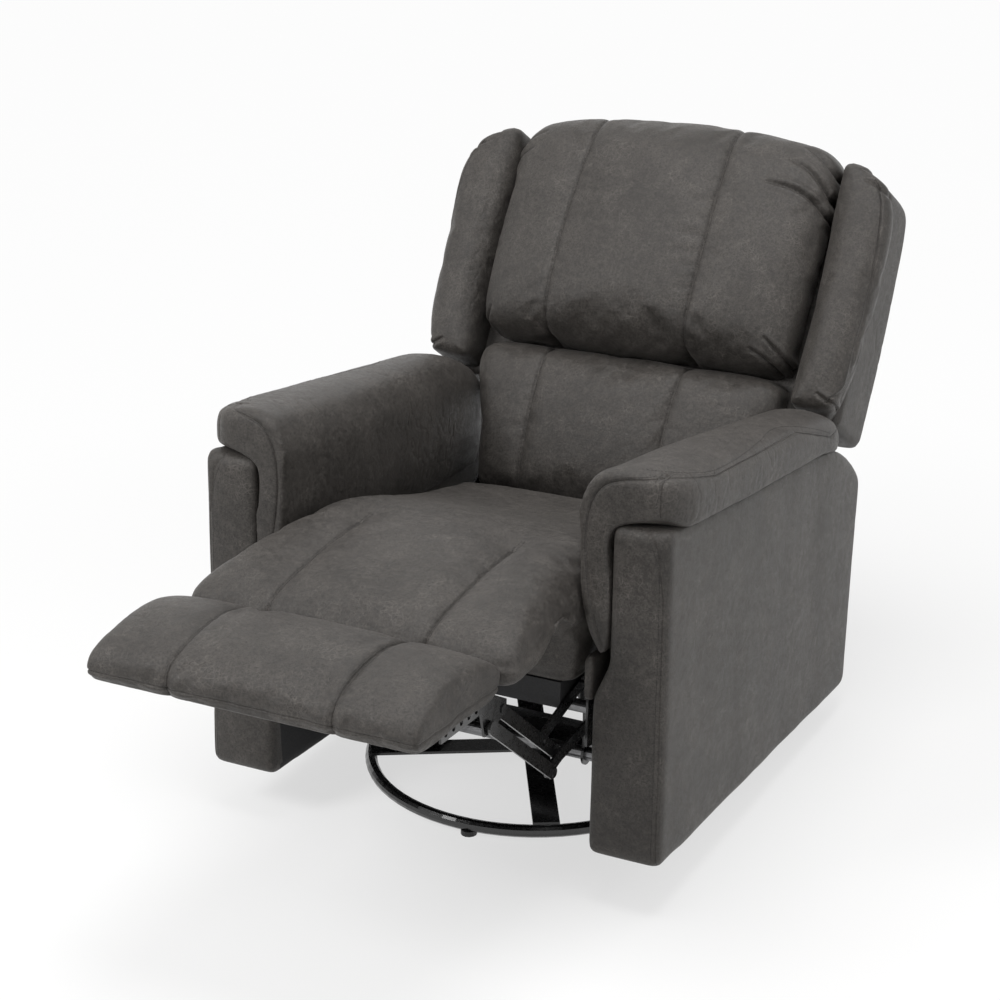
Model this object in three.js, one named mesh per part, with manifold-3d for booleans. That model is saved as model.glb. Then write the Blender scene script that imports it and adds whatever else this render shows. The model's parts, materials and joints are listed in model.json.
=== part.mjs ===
// A swivel glider recliner, drawn with its back leaned and its footrest out.
// Millimetres, +Z up, the front of the chair towards -Y, the sitter's left towards +X.
// The floor is at z = 0. The upper chair is drawn level and then tilted back as one group.
import * as THREE from "three";
import { mergeVertices } from "three/addons/utils/BufferGeometryUtils.js";
import Module from "manifold-3d";

const wasm = await Module();
wasm.setup();

// Overall chair
const overallWidth = 838;
const armWidth = 126.5;
const chairPitchDegrees = 2.515;
const clearance = 0.3;
const overrun = 4;
const softGap = 1.2;
const weld = 0.0001;
const half = overallWidth / 2;
const armInnerX = half - armWidth;

// Mechanism layers, counted outwards on each side
const sidePlateSpace = 26.5;
const sidePlateX = armInnerX - sidePlateSpace;
const linkPitch = 8;
const linkPinRadius = 5;
const linkHeadRadius = 8;
const linkHeadThickness = 2;
const linkHalf = 11;

// Base ring, its cross, hub and glides
const swivelY = -18;
const ringRadius = 295;
const ringTubeRadius = 11;
const glideHeight = 9;
const glideRadius = 14;
const glideBite = 3;
const crossBarWidth = 46;
const crossBarThickness = 5;
const crossTurnDegrees = 30;
const glideTurnDegrees = 4;
const hubRadius = 52;
const hubHeight = 22;
const hubBoreRadius = 17;
const spindleRadius = 16.4;
const spindleStandout = 8;
const spindleDepth = 24;

// Turning glider stand
const standInset = 120;
const standInnerX = sidePlateX - standInset;
const turnPlateMargin = 18;
const turnPlateHalfWidth = standInnerX + turnPlateMargin;
const turnPlateHalfDepth = 62;
const turnPlateThickness = 6;
const turnPlateGap = 3;
const plateThickness = 4;
const standFootHalf = 48;
const standHeadHalf = 132;
const standHeadDepth = 42;
const standShoulder = 34;
const swingPivotHalf = 110;
const swingPivotZ = 226;
const swingLength = 128;
const swingPinRadius = 6;
const swingPinHead = 9;
const swingHeadThickness = 3;
const swingLinkHalf = 12;
const swingEyeHalf = 20;
const crossTubeRadius = 12;
const crossTubeOverhang = 6;
const runningGap = 0.4;

// Footrest linkage in the closed plane, forward distance and height
const tubePivot = { f: 298, z: 258 };
const rearEyeAdvance = 155;
const rearEyeZ = 397;
const eyePitch = 45;
const eyeDrop = 12;
const driveLength = 150;
const driveAngleDegrees = -6.7;
const driveTubeRadius = 11;
const guidePivot = { f: 342.5, z: 319 };
const guideShare = 0.235;

// Side plates
const plateTopZ = 334;
const plateFrontF = 388;
const plateRearF = -150;
const plateFootHalf = 26;
const plateWaistZ = 190;
const plateEarRadius = 26;
const plateTabDepth = 34;
const plateTabHeight = 26;
const outerTabDepth = 44;
const outerTabPlaces = [-60, 90, 240];
const innerTabPlaces = [-90, 40, 170];

// Arms
const armFrontF = 428;
const armRearF = -447;
const armRearFootF = -434;
const armBottomZ = 71;
const armFrontTopZ = 628;
const armMidTopF = 112;
const armMidTopZ = 600;
const armLateTopF = -218;
const armLateTopZ = 577;
const armBendF = -318;
const armBendZ = 556;
const armFallF = -390;
const armFallZ = 514;
const armRearTopZ = 470;
const armStepTopZ = 399;
const armStepLowZ = 334;
const armStepDepth = 28;
const armBevel = 9;
const armWall = 12;
const armBoardThickness = 18;

// Arm pads
const padOverhang = 12;
const padFrontF = 431;
const padRearF = -325;
const padFrontHeight = 88;
const padMidHeight = 86;
const padRearHeight = 72;
const padInnerReach = 30.5;
const padInnerX = armInnerX - padInnerReach;
const padTipZ = 411;
const padEndRound = 30;
const padStations = 11;
const padEndShare = 0.35;
const padRearRound = 75;
const padRearShare = 0.55;
const padRearInset = 34;
const padStraightShare = 0.3;
const padTipShares = [0, 0.012, 0.035, 0.965, 0.988, 1];
const padTopShares = [
  [0.045, 0], [0, 0.28], [0.02, 0.62], [0.1, 0.9], [0.25, 1], [0.45, 1.02], [0.65, 0.98],
  [0.82, 0.84], [0.93, 0.56], [0.99, 0.2],
];
const padDropShares = [
  [1, 0.1], [0.98, 0.35], [0.88, 0.6], [0.66, 0.82], [0.4, 0.95], [0.2, 1], [0.04, 0.93], [0, 0.75], [0, 0],
];

// Padded inner arm panels
const innerPanelDepth = 16.5;
const innerPanelX = armInnerX - innerPanelDepth;
const innerPanelTopZ = 404;
const innerPanelBottomZ = 326;
const innerPanelFrontF = 424;
const innerPanelRearF = -130;
const innerPanelRound = 7;

// Seat frame and springs
const seatFrameGap = 2;
const seatFrameHalf = sidePlateX - 4 * linkPitch - seatFrameGap;
const seatRailWidth = 32;
const seatRailHeight = 44;
const seatFrameTopZ = 344;
const seatFrameFrontF = 412;
const seatFrameRearF = -178;
const springWire = 4;
const springWaveCount = 9;
const springStepCount = 6;
const springSwing = 20;
const springInset = 14;
const springPlaceShares = [-0.711, -0.237, 0.237, 0.711];

// Seat, bridge and footrest cushions
const seatSideGap = 31;
const seatHalfWidth = armInnerX - seatSideGap;
const seatRearF = -180;
const foldF = 500;
const foldZ = 490;
const seatRearTopZ = 438;
const foldDepth = 70;
const seatNoseF = foldF - foldDepth;
const seatEdgeRound = 34;
const seatRearBulge = 5;
const seatRearDrop = 11;
const seatRearStep = 4;
const seatTopPlaces = [
  [-60, 452], [0, 463], [60, 475], [120, 490], [180, 507], [240, 524], [300, 537], [360, 543], [430, 545],
];
const foldTopZ = 538;
const bridgeTopPlaces = [[620, 515], [560, 528]];
const bridgeNoseRise = 7;
const seatRoundShare = 0.7;
const seatCrown = 8;
const seamDepth = 3.5;
const seamWidth = 9;
const crossShares = [1, 0.97, 0.9, 0.78, 0.55];
const seatSeamX = 128;
const bridgeSpread = 9.5;
const bridgeHalfWidth = seatHalfWidth + bridgeSpread;
const bridgeLength = 190;
const bridgeFrontF = foldF + bridgeLength;
const bridgeFrontTopZ = 499;
const bridgeCorner = 7;
const bridgeNotchInset = 22;
const bridgeNotchX = sidePlateX - bridgeNotchInset;
const bridgeNotchHeight = 27;
const boardThickness = 12;
const bridgeBoardBottomZ = 425;
const bridgeBoardSetback = 68;
const bridgeBoardRearF = foldF + bridgeBoardSetback;
const bridgeBoardInset = 30;
const bridgeBoardHalf = sidePlateX - bridgeBoardInset;
const footSpread = 14.5;
const footHalfWidth = seatHalfWidth + footSpread;
const footGap = 7;
const footRearF = bridgeFrontF + footGap;
const footDepth = 253;
const footBoardBottomZ = 440;
const footThickness = 88;
const footRound = 26;
const footRoundShare = 0.8;
const footBoardEdge = 14;
const footBoardHalf = footHalfWidth - footBoardEdge;
const footBoardInset = 8;
const bracketRearSetback = 5;
const bracketRearF = footRearF + bracketRearSetback;
const bracketLength = 143;
const bracketFrontF = bracketRearF + bracketLength;
const bracketBarHeight = 25;
const bracketFlange = 24;
const bracketHoleRadius = 5;
const bracketHoleCount = 5;
const bracketHolePitch = 23;
const bracketHoleStart = 14;
const bracketFlangeLength = 96;
const bracketEarHalf = 12;

// Back, drawn upright round its hinge and then leaned
const hingeF = -215;
const hingeZ = 385;
const leanDegrees = 29;
const cushionRear = 42;
const lumbarBottomU = 8;
const lumbarTopU = 309;
const lumbarDepth = 84;
const lumbarGap = 0.7;
const lumbarHalf = sidePlateX - linkPitch - lumbarGap;
const lumbarEdgeGap = 113;
const lumbarWideHalf = half - lumbarEdgeGap;
const lumbarNotchU = 250;
const pillowBottomU = 311;
const pillowTopU = 770;
const pillowCornerU = 736;
const pillowDepth = 116;
const pillowEdgeGap = 107;
const pillowHalf = half - pillowEdgeGap;
const pillowSeamX = 140;
const backCrown = 34;
const backRound = 42;
const wingWidth = 117;
const wingOverhang = 11;
const wingOuterX = half + wingOverhang;
const wingInnerX = wingOuterX - wingWidth;
const wingBottomU = 260;
const wingTopU = 722;
const wingDepth = 98;
const wingRound = 34;
const endRoundShare = 0.5;
const wingRoundShare = 0.9;
const backFrameDepth = 34;
const backPostWidth = 30;
const outerPostWidth = 30;
const backRailHeight = 36;
const backFrameTopU = 690;
const backFrameStepU = 262;
const backMidRailU = 470;
const backPostBottomU = 14;
const lowRailU = 60;
const bracketPlateTopU = 130;
const shellEdgeGap = 20;
const shellOuterX = half - shellEdgeGap;
const shellFrontV = 46;
const shellRearV = 202;
const shellBottomU = 240;
const shellTopU = 716;
const shellWall = 12;
const shellBevel = 7;

// Rear panel between the arms
const rearPanelF = -396;
const rearPanelThickness = 22;
const rearPanelBottomZ = 82;
const rearPanelTopZ = 436;

// Release handle in the sitter's right arm
const cupF = 250;
const cupZ = 400;
const cupHalfDepth = 62;
const cupHalfHeight = 34;
const cupRim = 8;
const cupSink = 26;
const cupWall = 3;
const cupLip = 2.5;
const pullHalfDepth = 44;
const pullHeight = 34;
const pullThickness = 8;
const pullPinRadius = 3;

// Faceting counts
const pinSides = 12;
const tubeSides = 20;
const ringSteps = 72;
const ringSides = 12;

// Pivots of the footrest linkage that follow from the driving ones
const rearEye = { f: foldF + rearEyeAdvance, z: rearEyeZ };
const frontEye = { f: rearEye.f + eyePitch, z: rearEye.z - eyeDrop };
const driveAngle = THREE.MathUtils.degToRad(driveAngleDegrees);
const rearPin = {
  f: tubePivot.f + driveLength * Math.cos(driveAngle),
  z: tubePivot.z + driveLength * Math.sin(driveAngle),
};
const frontPin = { f: rearPin.f + frontEye.f - rearEye.f, z: rearPin.z + frontEye.z - rearEye.z };
const guidePin = {
  f: THREE.MathUtils.lerp(rearPin.f, rearEye.f, guideShare),
  z: THREE.MathUtils.lerp(rearPin.z, rearEye.z, guideShare),
};

const layer = (count) => sidePlateX - count * linkPitch;

const steel = { color: 0x16171a, roughness: 0.35, metalness: 0.6 };
const silver = { color: 0x9a9c9f, roughness: 0.3, metalness: 0.9 };
const cloth = { color: 0x4a4641, roughness: 0.85, metalness: 0 };
const timber = { color: 0xa98a5c, roughness: 0.75, metalness: 0 };
const lining = { color: 0x141414, roughness: 0.95, metalness: 0 };
const plastic = { color: 0x1b1b1d, roughness: 0.5, metalness: 0 };

const chair = new THREE.Group();
const upper = new THREE.Group();
const back = new THREE.Group();
const pitch = THREE.MathUtils.degToRad(chairPitchDegrees);
const lean = THREE.MathUtils.degToRad(leanDegrees);
upper.rotation.x = -pitch;
back.position.set(0, -hingeF, hingeZ);
back.rotation.x = -lean;
upper.add(back);
chair.add(upper);

// Adds one named piece to a group
function place(group, name, geometry, finish) {
  const mesh = new THREE.Mesh(geometry, new THREE.MeshStandardMaterial(finish));
  mesh.name = name;
  group.add(mesh);
  return mesh;
}

// Marks a point on a joint's axis, so that a reader can find the joint
function mark(group, name, x, y, z) {
  const point = new THREE.Object3D();
  point.name = `axis_${name}`;
  point.position.set(x, y, z);
  group.add(point);
}

// Turns a closed geometry into a solid that can be cut and joined
function solid(geometry) {
  const bare = geometry.clone();
  bare.deleteAttribute("normal");
  bare.deleteAttribute("uv");
  const merged = mergeVertices(bare, weld);
  const mesh = new wasm.Mesh({
    numProp: 3,
    vertProperties: new Float32Array(merged.attributes.position.array),
    triVerts: new Uint32Array(merged.index.array),
  });
  return new wasm.Manifold(mesh);
}

// Turns a solid back into a geometry
function surface(body) {
  const mesh = body.getMesh();
  const geometry = new THREE.BufferGeometry();
  geometry.setAttribute("position", new THREE.BufferAttribute(new Float32Array(mesh.vertProperties), 3));
  geometry.setIndex(new THREE.BufferAttribute(new Uint32Array(mesh.triVerts), 1));
  geometry.computeVertexNormals();
  return geometry;
}

// Joins and cuts a list of geometries
function combine(parts, cuts = []) {
  let body = solid(parts[0]);
  for (const part of parts.slice(1)) {
    body = body.add(solid(part));
  }
  for (const cut of cuts) {
    body = body.subtract(solid(cut));
  }
  return surface(body);
}

// Mirrors a geometry to the other side of the chair and keeps its faces outwards
function mirrored(geometry) {
  const copy = geometry.index ? geometry.toNonIndexed() : geometry.clone();
  const position = copy.attributes.position;
  for (let i = 0; i < position.count; i += 3) {
    const corners = [0, 2, 1].map((k) => new THREE.Vector3().fromBufferAttribute(position, i + k));
    corners.forEach((corner, k) => position.setXYZ(i + k, -corner.x, corner.y, corner.z));
  }
  copy.deleteAttribute("normal");
  copy.deleteAttribute("uv");
  return mergeVertices(copy, weld);
}

// Adds a left and a right copy of a piece that is drawn on the +X side
function placePair(group, name, geometry, finish) {
  place(group, `${name}_left`, geometry, finish);
  place(group, `${name}_right`, mirrored(geometry), finish);
}

// A point of the side view: forward distance and height become Y and Z
const sidePoint = (f, z) => new THREE.Vector2(-f, z);

// Extrudes a side-view outline along X between two stations
function slab(points, lowX, highX, bevel = 0) {
  const geometry = new THREE.ExtrudeGeometry(new THREE.Shape(points), {
    depth: highX - lowX - 2 * bevel,
    bevelEnabled: bevel > 0,
    bevelSize: bevel,
    bevelThickness: bevel,
    bevelOffset: -bevel,
    bevelSegments: 2,
  });
  geometry.translate(0, 0, lowX + bevel);
  const turn = new THREE.Matrix4().makeBasis(
    new THREE.Vector3(0, 1, 0), new THREE.Vector3(0, 0, 1), new THREE.Vector3(1, 0, 0));
  return geometry.applyMatrix4(turn);
}

// A box between two corners
function block(low, high) {
  const size = high.map((value, k) => value - low[k]);
  const geometry = new THREE.BoxGeometry(...size);
  return geometry.translate(...low.map((value, k) => value + size[k] / 2));
}

// A round bar along X at a side-view place
function pin(f, z, radius, lowX, highX, sides = pinSides) {
  const geometry = new THREE.CylinderGeometry(radius, radius, highX - lowX, sides);
  geometry.rotateZ(-Math.PI / 2);
  return geometry.translate((lowX + highX) / 2, -f, z);
}

// A round bar along Z
function post(x, y, radius, lowZ, highZ, sides = tubeSides) {
  const geometry = new THREE.CylinderGeometry(radius, radius, highZ - lowZ, sides);
  geometry.rotateX(Math.PI / 2);
  return geometry.translate(x, y, (lowZ + highZ) / 2);
}

// Outline of a flat bar with round ends that passes through side-view places
function barOutline(places, halfWidth) {
  const count = pinSides / 2;
  const points = [];
  const arc = (centre, from, to) => {
    for (let k = 0; k <= count; k += 1) {
      const angle = from + ((to - from) * k) / count;
      points.push(sidePoint(centre.f + halfWidth * Math.cos(angle), centre.z + halfWidth * Math.sin(angle)));
    }
  };
  const first = places[0];
  const last = places[places.length - 1];
  const heading = Math.atan2(last.z - first.z, last.f - first.f);
  arc(last, heading - Math.PI / 2, heading + Math.PI / 2);
  arc(first, heading + Math.PI / 2, heading + 1.5 * Math.PI);
  return points;
}

// A flat link with eyes, pins and rivet heads: pins point to the layer given by their side
function link(places, lowX, holes, pins, halfWidth = linkHalf) {
  const bar = slab(barOutline(places, halfWidth), lowX, lowX + plateThickness);
  const parts = [bar];
  const reach = linkPitch + plateThickness + clearance;
  for (const stub of pins) {
    const shaftLow = stub.side < 0 ? lowX - linkPitch - clearance : lowX + plateThickness / 2;
    const shaftHigh = stub.side < 0 ? lowX + plateThickness / 2 : lowX + reach;
    parts.push(pin(stub.f, stub.z, linkPinRadius, shaftLow, shaftHigh));
    const headLow = stub.side < 0 ? shaftLow - linkHeadThickness : shaftHigh;
    parts.push(pin(stub.f, stub.z, linkHeadRadius, headLow, headLow + linkHeadThickness));
  }
  const cuts = holes.map((hole) =>
    pin(hole.f, hole.z, linkPinRadius + runningGap, lowX - overrun, lowX + plateThickness + overrun));
  return combine(parts, cuts);
}

// Closes a stack of equal rings into one body, with a fan at each end
function loft(rings) {
  const count = rings[0].length;
  const positions = [];
  for (const ring of rings) {
    for (const point of ring) {
      positions.push(point.x, point.y, point.z);
    }
  }
  const index = [];
  for (let i = 0; i + 1 < rings.length; i += 1) {
    for (let k = 0; k < count; k += 1) {
      const a = i * count + k;
      const b = i * count + ((k + 1) % count);
      index.push(a, b, a + count, b, b + count, a + count);
    }
  }
  for (const end of [0, rings.length - 1]) {
    const middle = new THREE.Vector3();
    rings[end].forEach((point) => middle.addScaledVector(point, 1 / count));
    const centre = positions.length / 3;
    positions.push(middle.x, middle.y, middle.z);
    for (let k = 0; k < count; k += 1) {
      const a = end * count + k;
      const b = end * count + ((k + 1) % count);
      index.push(...(end === 0 ? [centre, b, a] : [centre, a, b]));
    }
  }
  const geometry = new THREE.BufferGeometry();
  geometry.setAttribute("position", new THREE.Float32BufferAttribute(positions, 3));
  geometry.setIndex(signedVolume(positions, index) < 0 ? flipped(index) : index);
  geometry.computeVertexNormals();
  return geometry;
}

// Volume of a triangle list, negative when its faces point inwards
function signedVolume(positions, index) {
  let total = 0;
  const corner = (i) => new THREE.Vector3().fromArray(positions, 3 * i);
  for (let i = 0; i < index.length; i += 3) {
    total += corner(index[i]).dot(corner(index[i + 1]).cross(corner(index[i + 2])));
  }
  return total;
}

// The same triangles seen from the other side
function flipped(index) {
  const turned = [];
  for (let i = 0; i < index.length; i += 3) {
    turned.push(index[i], index[i + 2], index[i + 1]);
  }
  return turned;
}

// Moves each point of an outline inwards along its normal
function inset(points, distance) {
  const area = THREE.ShapeUtils.area(points);
  return points.map((point, k) => {
    const before = points[(k + points.length - 1) % points.length];
    const after = points[(k + 1) % points.length];
    const into = point.clone().sub(before).normalize();
    const out = after.clone().sub(point).normalize();
    const normal = new THREE.Vector2(-into.y - out.y, into.x + out.x);
    if (normal.length() === 0) {
      return point.clone();
    }
    normal.normalize().multiplyScalar(Math.sign(area));
    const mitre = Math.max(Math.abs(normal.dot(new THREE.Vector2(-into.y, into.x))), 0.5);
    const amount = typeof distance === "function" ? distance(point) : distance;
    return point.clone().addScaledVector(normal, amount / mitre);
  });
}

// A sewn cushion: a side-view outline carried across X, with round ends, sewn channels and a crown
function cushion(outline, spec) {
  const stations = new Set([0, ...crossShares.map((share) => share * spec.half)]);
  for (const seam of spec.seams ?? []) {
    stations.add(seam - seamWidth);
    stations.add(seam);
    stations.add(seam + seamWidth);
  }
  const sorted = [...stations].sort((a, b) => a - b);
  const across = [...sorted.slice(1).reverse().map((x) => -x), ...sorted];
  const floor = Math.min(...outline.map((point) => point.y));
  const rings = across.map((x) => {
    const edge = spec.half - Math.abs(x);
    const rise = Math.max(0, spec.round - edge);
    const round = spec.round - Math.sqrt(Math.max(0, spec.round ** 2 - rise ** 2));
    const sewn = (spec.seams ?? []).some((seam) => Math.abs(Math.abs(x) - seam) === 0) ? seamDepth : 0;
    const drop = round * spec.roundShare + sewn;
    const shaped = inset(outline, (point) => {
      const fixed = spec.hold ? spec.hold(point) : 1;
      const resting = point.y - floor < clearance ? 0 : 1;
      return drop * fixed * resting;
    });
    return shaped.map((point) => {
      const formed = spec.form(point, x / spec.half);
      return new THREE.Vector3(spec.centre + x, formed.x, formed.y);
    });
  });
  return loft(rings);
}

// Base
function addBase() {
  const ringZ = glideHeight + ringTubeRadius - glideBite;
  const ring = new THREE.TorusGeometry(ringRadius, ringTubeRadius, ringSides, ringSteps);
  ring.translate(0, swivelY, ringZ);
  place(chair, "base_ring", surface(solid(ring)), steel);
  const ringTop = ringZ + ringTubeRadius + clearance;
  const bars = [0, 1].map((turn) => {
    const length = 2 * ringRadius;
    const bar = new THREE.BoxGeometry(length, crossBarWidth, crossBarThickness);
    bar.rotateZ(THREE.MathUtils.degToRad(crossTurnDegrees + 90 * turn));
    return bar.translate(0, swivelY, ringTop + crossBarThickness / 2);
  });
  const hole = post(0, swivelY, hubBoreRadius, ringTop - overrun, ringTop + crossBarThickness + overrun);
  place(chair, "base_cross", combine(bars, [hole]), steel);
  for (const quarter of [0, 1, 2, 3]) {
    const angle = THREE.MathUtils.degToRad(glideTurnDegrees + 90 * quarter);
    const x = ringRadius * Math.cos(angle);
    const y = swivelY + ringRadius * Math.sin(angle);
    const foot = post(x, y, glideRadius, 0, glideHeight, pinSides);
    const seat = new THREE.TorusGeometry(ringRadius, ringTubeRadius + clearance, ringSides, ringSteps);
    seat.translate(0, swivelY, ringZ);
    place(chair, `base_glide_${quarter + 1}`, combine([foot], [seat]), plastic);
  }
  const hubLow = ringTop + crossBarThickness + clearance;
  const hubHigh = hubLow + hubHeight;
  const hub = combine(
    [post(0, swivelY, hubRadius, hubLow, hubHigh)],
    [post(0, swivelY, hubBoreRadius, hubLow - overrun, hubHigh + overrun)]);
  place(chair, "swivel_bearing", hub, steel);
  return hubHigh;
}

// Stand that turns on the hub and carries the swing links
function addStand(hubHigh) {
  const plateLow = hubHigh + turnPlateGap;
  const plateHigh = plateLow + turnPlateThickness;
  const plate = block(
    [-turnPlateHalfWidth, swivelY - turnPlateHalfDepth, plateLow],
    [turnPlateHalfWidth, swivelY + turnPlateHalfDepth, plateHigh]);
  const collar = post(0, swivelY, hubRadius - linkHalf, hubHigh + clearance, plateLow + clearance);
  const bore = post(0, swivelY, spindleRadius + clearance, hubHigh - overrun, plateHigh + overrun);
  place(chair, "turn_plate", combine([plate, collar], [bore]), steel);
  const spindleHigh = plateHigh + clearance + spindleStandout;
  const spindle = combine([
    post(0, swivelY, spindleRadius, hubHigh - spindleDepth, spindleHigh),
    post(0, swivelY, hubBoreRadius + linkHalf, plateHigh + clearance, spindleHigh),
  ]);
  place(chair, "swivel_spindle", spindle, silver);
  const footZ = plateHigh + clearance;
  const headZ = swingPivotZ + swingEyeHalf;
  const outline = [
    [-standFootHalf, footZ], [-standFootHalf, headZ - standHeadDepth - standShoulder],
    [-standHeadHalf, headZ - standHeadDepth], [-standHeadHalf, headZ],
    [standHeadHalf, headZ], [standHeadHalf, headZ - standHeadDepth],
    [standFootHalf, headZ - standHeadDepth - standShoulder], [standFootHalf, footZ],
  ].map(([y, z]) => new THREE.Vector2(swivelY + y, z));
  const parts = [slab(outline, standInnerX, standInnerX + plateThickness)];
  parts.push(block(
    [standInnerX - standFootHalf / 2, swivelY - standFootHalf, footZ],
    [standInnerX + plateThickness, swivelY + standFootHalf, footZ + plateThickness]));
  const linkX = standInnerX + plateThickness + clearance;
  const reach = [linkX - overrun, linkX + plateThickness + overrun];
  for (const side of [-1, 1]) {
    const f = -(swivelY + side * swingPivotHalf);
    const stubEnd = linkX + plateThickness + clearance;
    parts.push(pin(f, swingPivotZ, swingPinRadius, standInnerX + clearance, stubEnd));
    parts.push(pin(f, swingPivotZ, swingPinHead, stubEnd, stubEnd + swingHeadThickness));
  }
  placePair(chair, "glide_stand", combine(parts), steel);
  for (const [end, side] of [["front", -1], ["rear", 1]]) {
    const top = { f: -(swivelY + side * swingPivotHalf), z: swingPivotZ };
    const low = { f: top.f, z: swingPivotZ - swingLength };
    const bar = slab(barOutline([low, top], swingLinkHalf), linkX, linkX + plateThickness);
    const eye = pin(low.f, low.z, swingEyeHalf, linkX, linkX + plateThickness, tubeSides);
    const cuts = [
      pin(top.f, top.z, swingPinRadius + runningGap, ...reach),
      pin(low.f, low.z, crossTubeRadius + runningGap, ...reach, tubeSides),
    ];
    placePair(chair, `glide_link_${end}`, combine([bar, eye], cuts), steel);
    const tubeEnd = sidePlateX + plateThickness + crossTubeOverhang;
    const tube = pin(low.f, low.z, crossTubeRadius, -tubeEnd, tubeEnd, tubeSides);
    place(chair, `carriage_tube_${end}`, tube, silver);
  }
}

// A world place of the swing links, seen from inside the tilted upper chair
function tubePlace(side) {
  const y = swivelY + side * swingPivotHalf;
  const z = swingPivotZ - swingLength;
  return { f: -(y * Math.cos(pitch) - z * Math.sin(pitch)), z: y * Math.sin(pitch) + z * Math.cos(pitch) };
}

// Steel side plates that carry the arms, the seat frame, the linkage and the back hinge
function addSidePlates() {
  const front = tubePlace(-1);
  const rear = tubePlace(1);
  const outline = [
    [plateFrontF, plateTopZ], [plateFrontF, tubePivot.z - plateEarRadius],
    [front.f + plateFootHalf, plateWaistZ], [front.f + plateFootHalf, front.z - plateFootHalf],
    [front.f - plateFootHalf, front.z - plateFootHalf], [front.f - plateFootHalf, plateWaistZ],
    [rear.f + plateFootHalf, plateWaistZ], [rear.f + plateFootHalf, rear.z - plateFootHalf],
    [rear.f - plateFootHalf, rear.z - plateFootHalf], [plateRearF, plateWaistZ],
    [hingeF - plateEarRadius, hingeZ - plateEarRadius], [hingeF - plateEarRadius, hingeZ + plateEarRadius],
    [hingeF + plateEarRadius, hingeZ + plateEarRadius], [hingeF + plateEarRadius, plateTopZ],
  ].map(([f, z]) => sidePoint(f, z));
  const parts = [slab(outline, sidePlateX, sidePlateX + plateThickness)];
  for (const f of outerTabPlaces) {
    parts.push(block(
      [sidePlateX + clearance, -f, tubePivot.z - plateTabHeight],
      [armInnerX - clearance, -f + outerTabDepth, tubePivot.z + plateTabHeight]));
  }
  for (const f of innerTabPlaces) {
    parts.push(block(
      [seatFrameHalf + clearance, -f, plateTopZ - plateTabHeight],
      [sidePlateX + clearance, -f + plateTabDepth, plateTopZ]));
  }
  const reach = [sidePlateX - overrun, sidePlateX + plateThickness + overrun];
  const cuts = [
    pin(front.f, front.z, crossTubeRadius + clearance, ...reach, tubeSides),
    pin(rear.f, rear.z, crossTubeRadius + clearance, ...reach, tubeSides),
    pin(tubePivot.f, tubePivot.z, linkPinRadius + runningGap, ...reach),
    pin(guidePivot.f, guidePivot.z, linkPinRadius + runningGap, ...reach),
    pin(hingeF, hingeZ, linkPinRadius + runningGap, ...reach),
  ];
  placePair(upper, "side_plate", combine(parts, cuts), steel);
}

// Upholstered arm boxes with their boards
function armTop() {
  return [
    [armFrontF, armFrontTopZ], [armMidTopF, armMidTopZ], [armLateTopF, armLateTopZ],
    [armBendF, armBendZ], [armFallF, armFallZ], [armRearF, armRearTopZ],
  ];
}

// Height of the arm box's top edge at a forward distance
function armTopAt(f) {
  const line = armTop();
  for (let k = 0; k + 1 < line.length; k += 1) {
    const [frontF, frontZ] = line[k];
    const [rearF, rearZ] = line[k + 1];
    if (f <= frontF && f >= rearF) {
      return rearZ + ((frontZ - rearZ) * (f - rearF)) / (frontF - rearF);
    }
  }
  return f > armFrontF ? armFrontTopZ : armRearTopZ;
}

function addArms() {
  const edge = [[armFrontF, armBottomZ], ...armTop(), [armRearFootF, armBottomZ]];
  const side = edge.map(([f, z]) => sidePoint(f, z));
  const stepX = armInnerX + armStepDepth;
  const section = (shrink, foot) => {
    const shape = new THREE.Shape([
      [armInnerX + shrink, foot], [half + overrun, foot], [half + overrun, armFrontTopZ + overrun],
      [stepX + shrink, armFrontTopZ + overrun], [stepX + shrink, armStepTopZ],
      [armInnerX + shrink, armStepLowZ],
    ].map(([x, z]) => new THREE.Vector2(x, z)));
    const length = armFrontF - armRearF + 2 * overrun;
    const geometry = new THREE.ExtrudeGeometry(shape, { depth: length, bevelEnabled: false });
    geometry.rotateX(Math.PI / 2);
    return geometry.translate(0, -armRearF + overrun, 0);
  };
  const outer = solid(slab(side, armInnerX - armBevel, half, armBevel)).intersect(solid(section(0, 0)));
  const innerSide = inset(side, armWall).map((point) =>
    new THREE.Vector2(point.x, point.y < armBottomZ + 2 * armWall ? armBottomZ - overrun : point.y));
  const hollow = solid(slab(innerSide, armInnerX, half - armWall)).intersect(solid(section(armWall, 0)));
  let cover = outer.subtract(hollow);
  placeArmCover("left", surface(cover));
  const cutY = -cupF;
  const cut = block(
    [half - 2 * armWall, cutY - cupHalfDepth - clearance, cupZ - cupHalfHeight - clearance],
    [half + overrun, cutY + cupHalfDepth + clearance, cupZ + cupHalfHeight + clearance]);
  cover = cover.subtract(solid(cut));
  placeArmCover("right", mirrored(surface(cover)));
  const boardLow = stepX + armWall + clearance;
  const board = inset(side, armWall + clearance);
  placePair(upper, "arm_board", slab(board, boardLow, boardLow + armBoardThickness), timber);
}

function placeArmCover(name, geometry) {
  place(upper, `arm_cover_${name}`, geometry, cloth);
}

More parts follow.
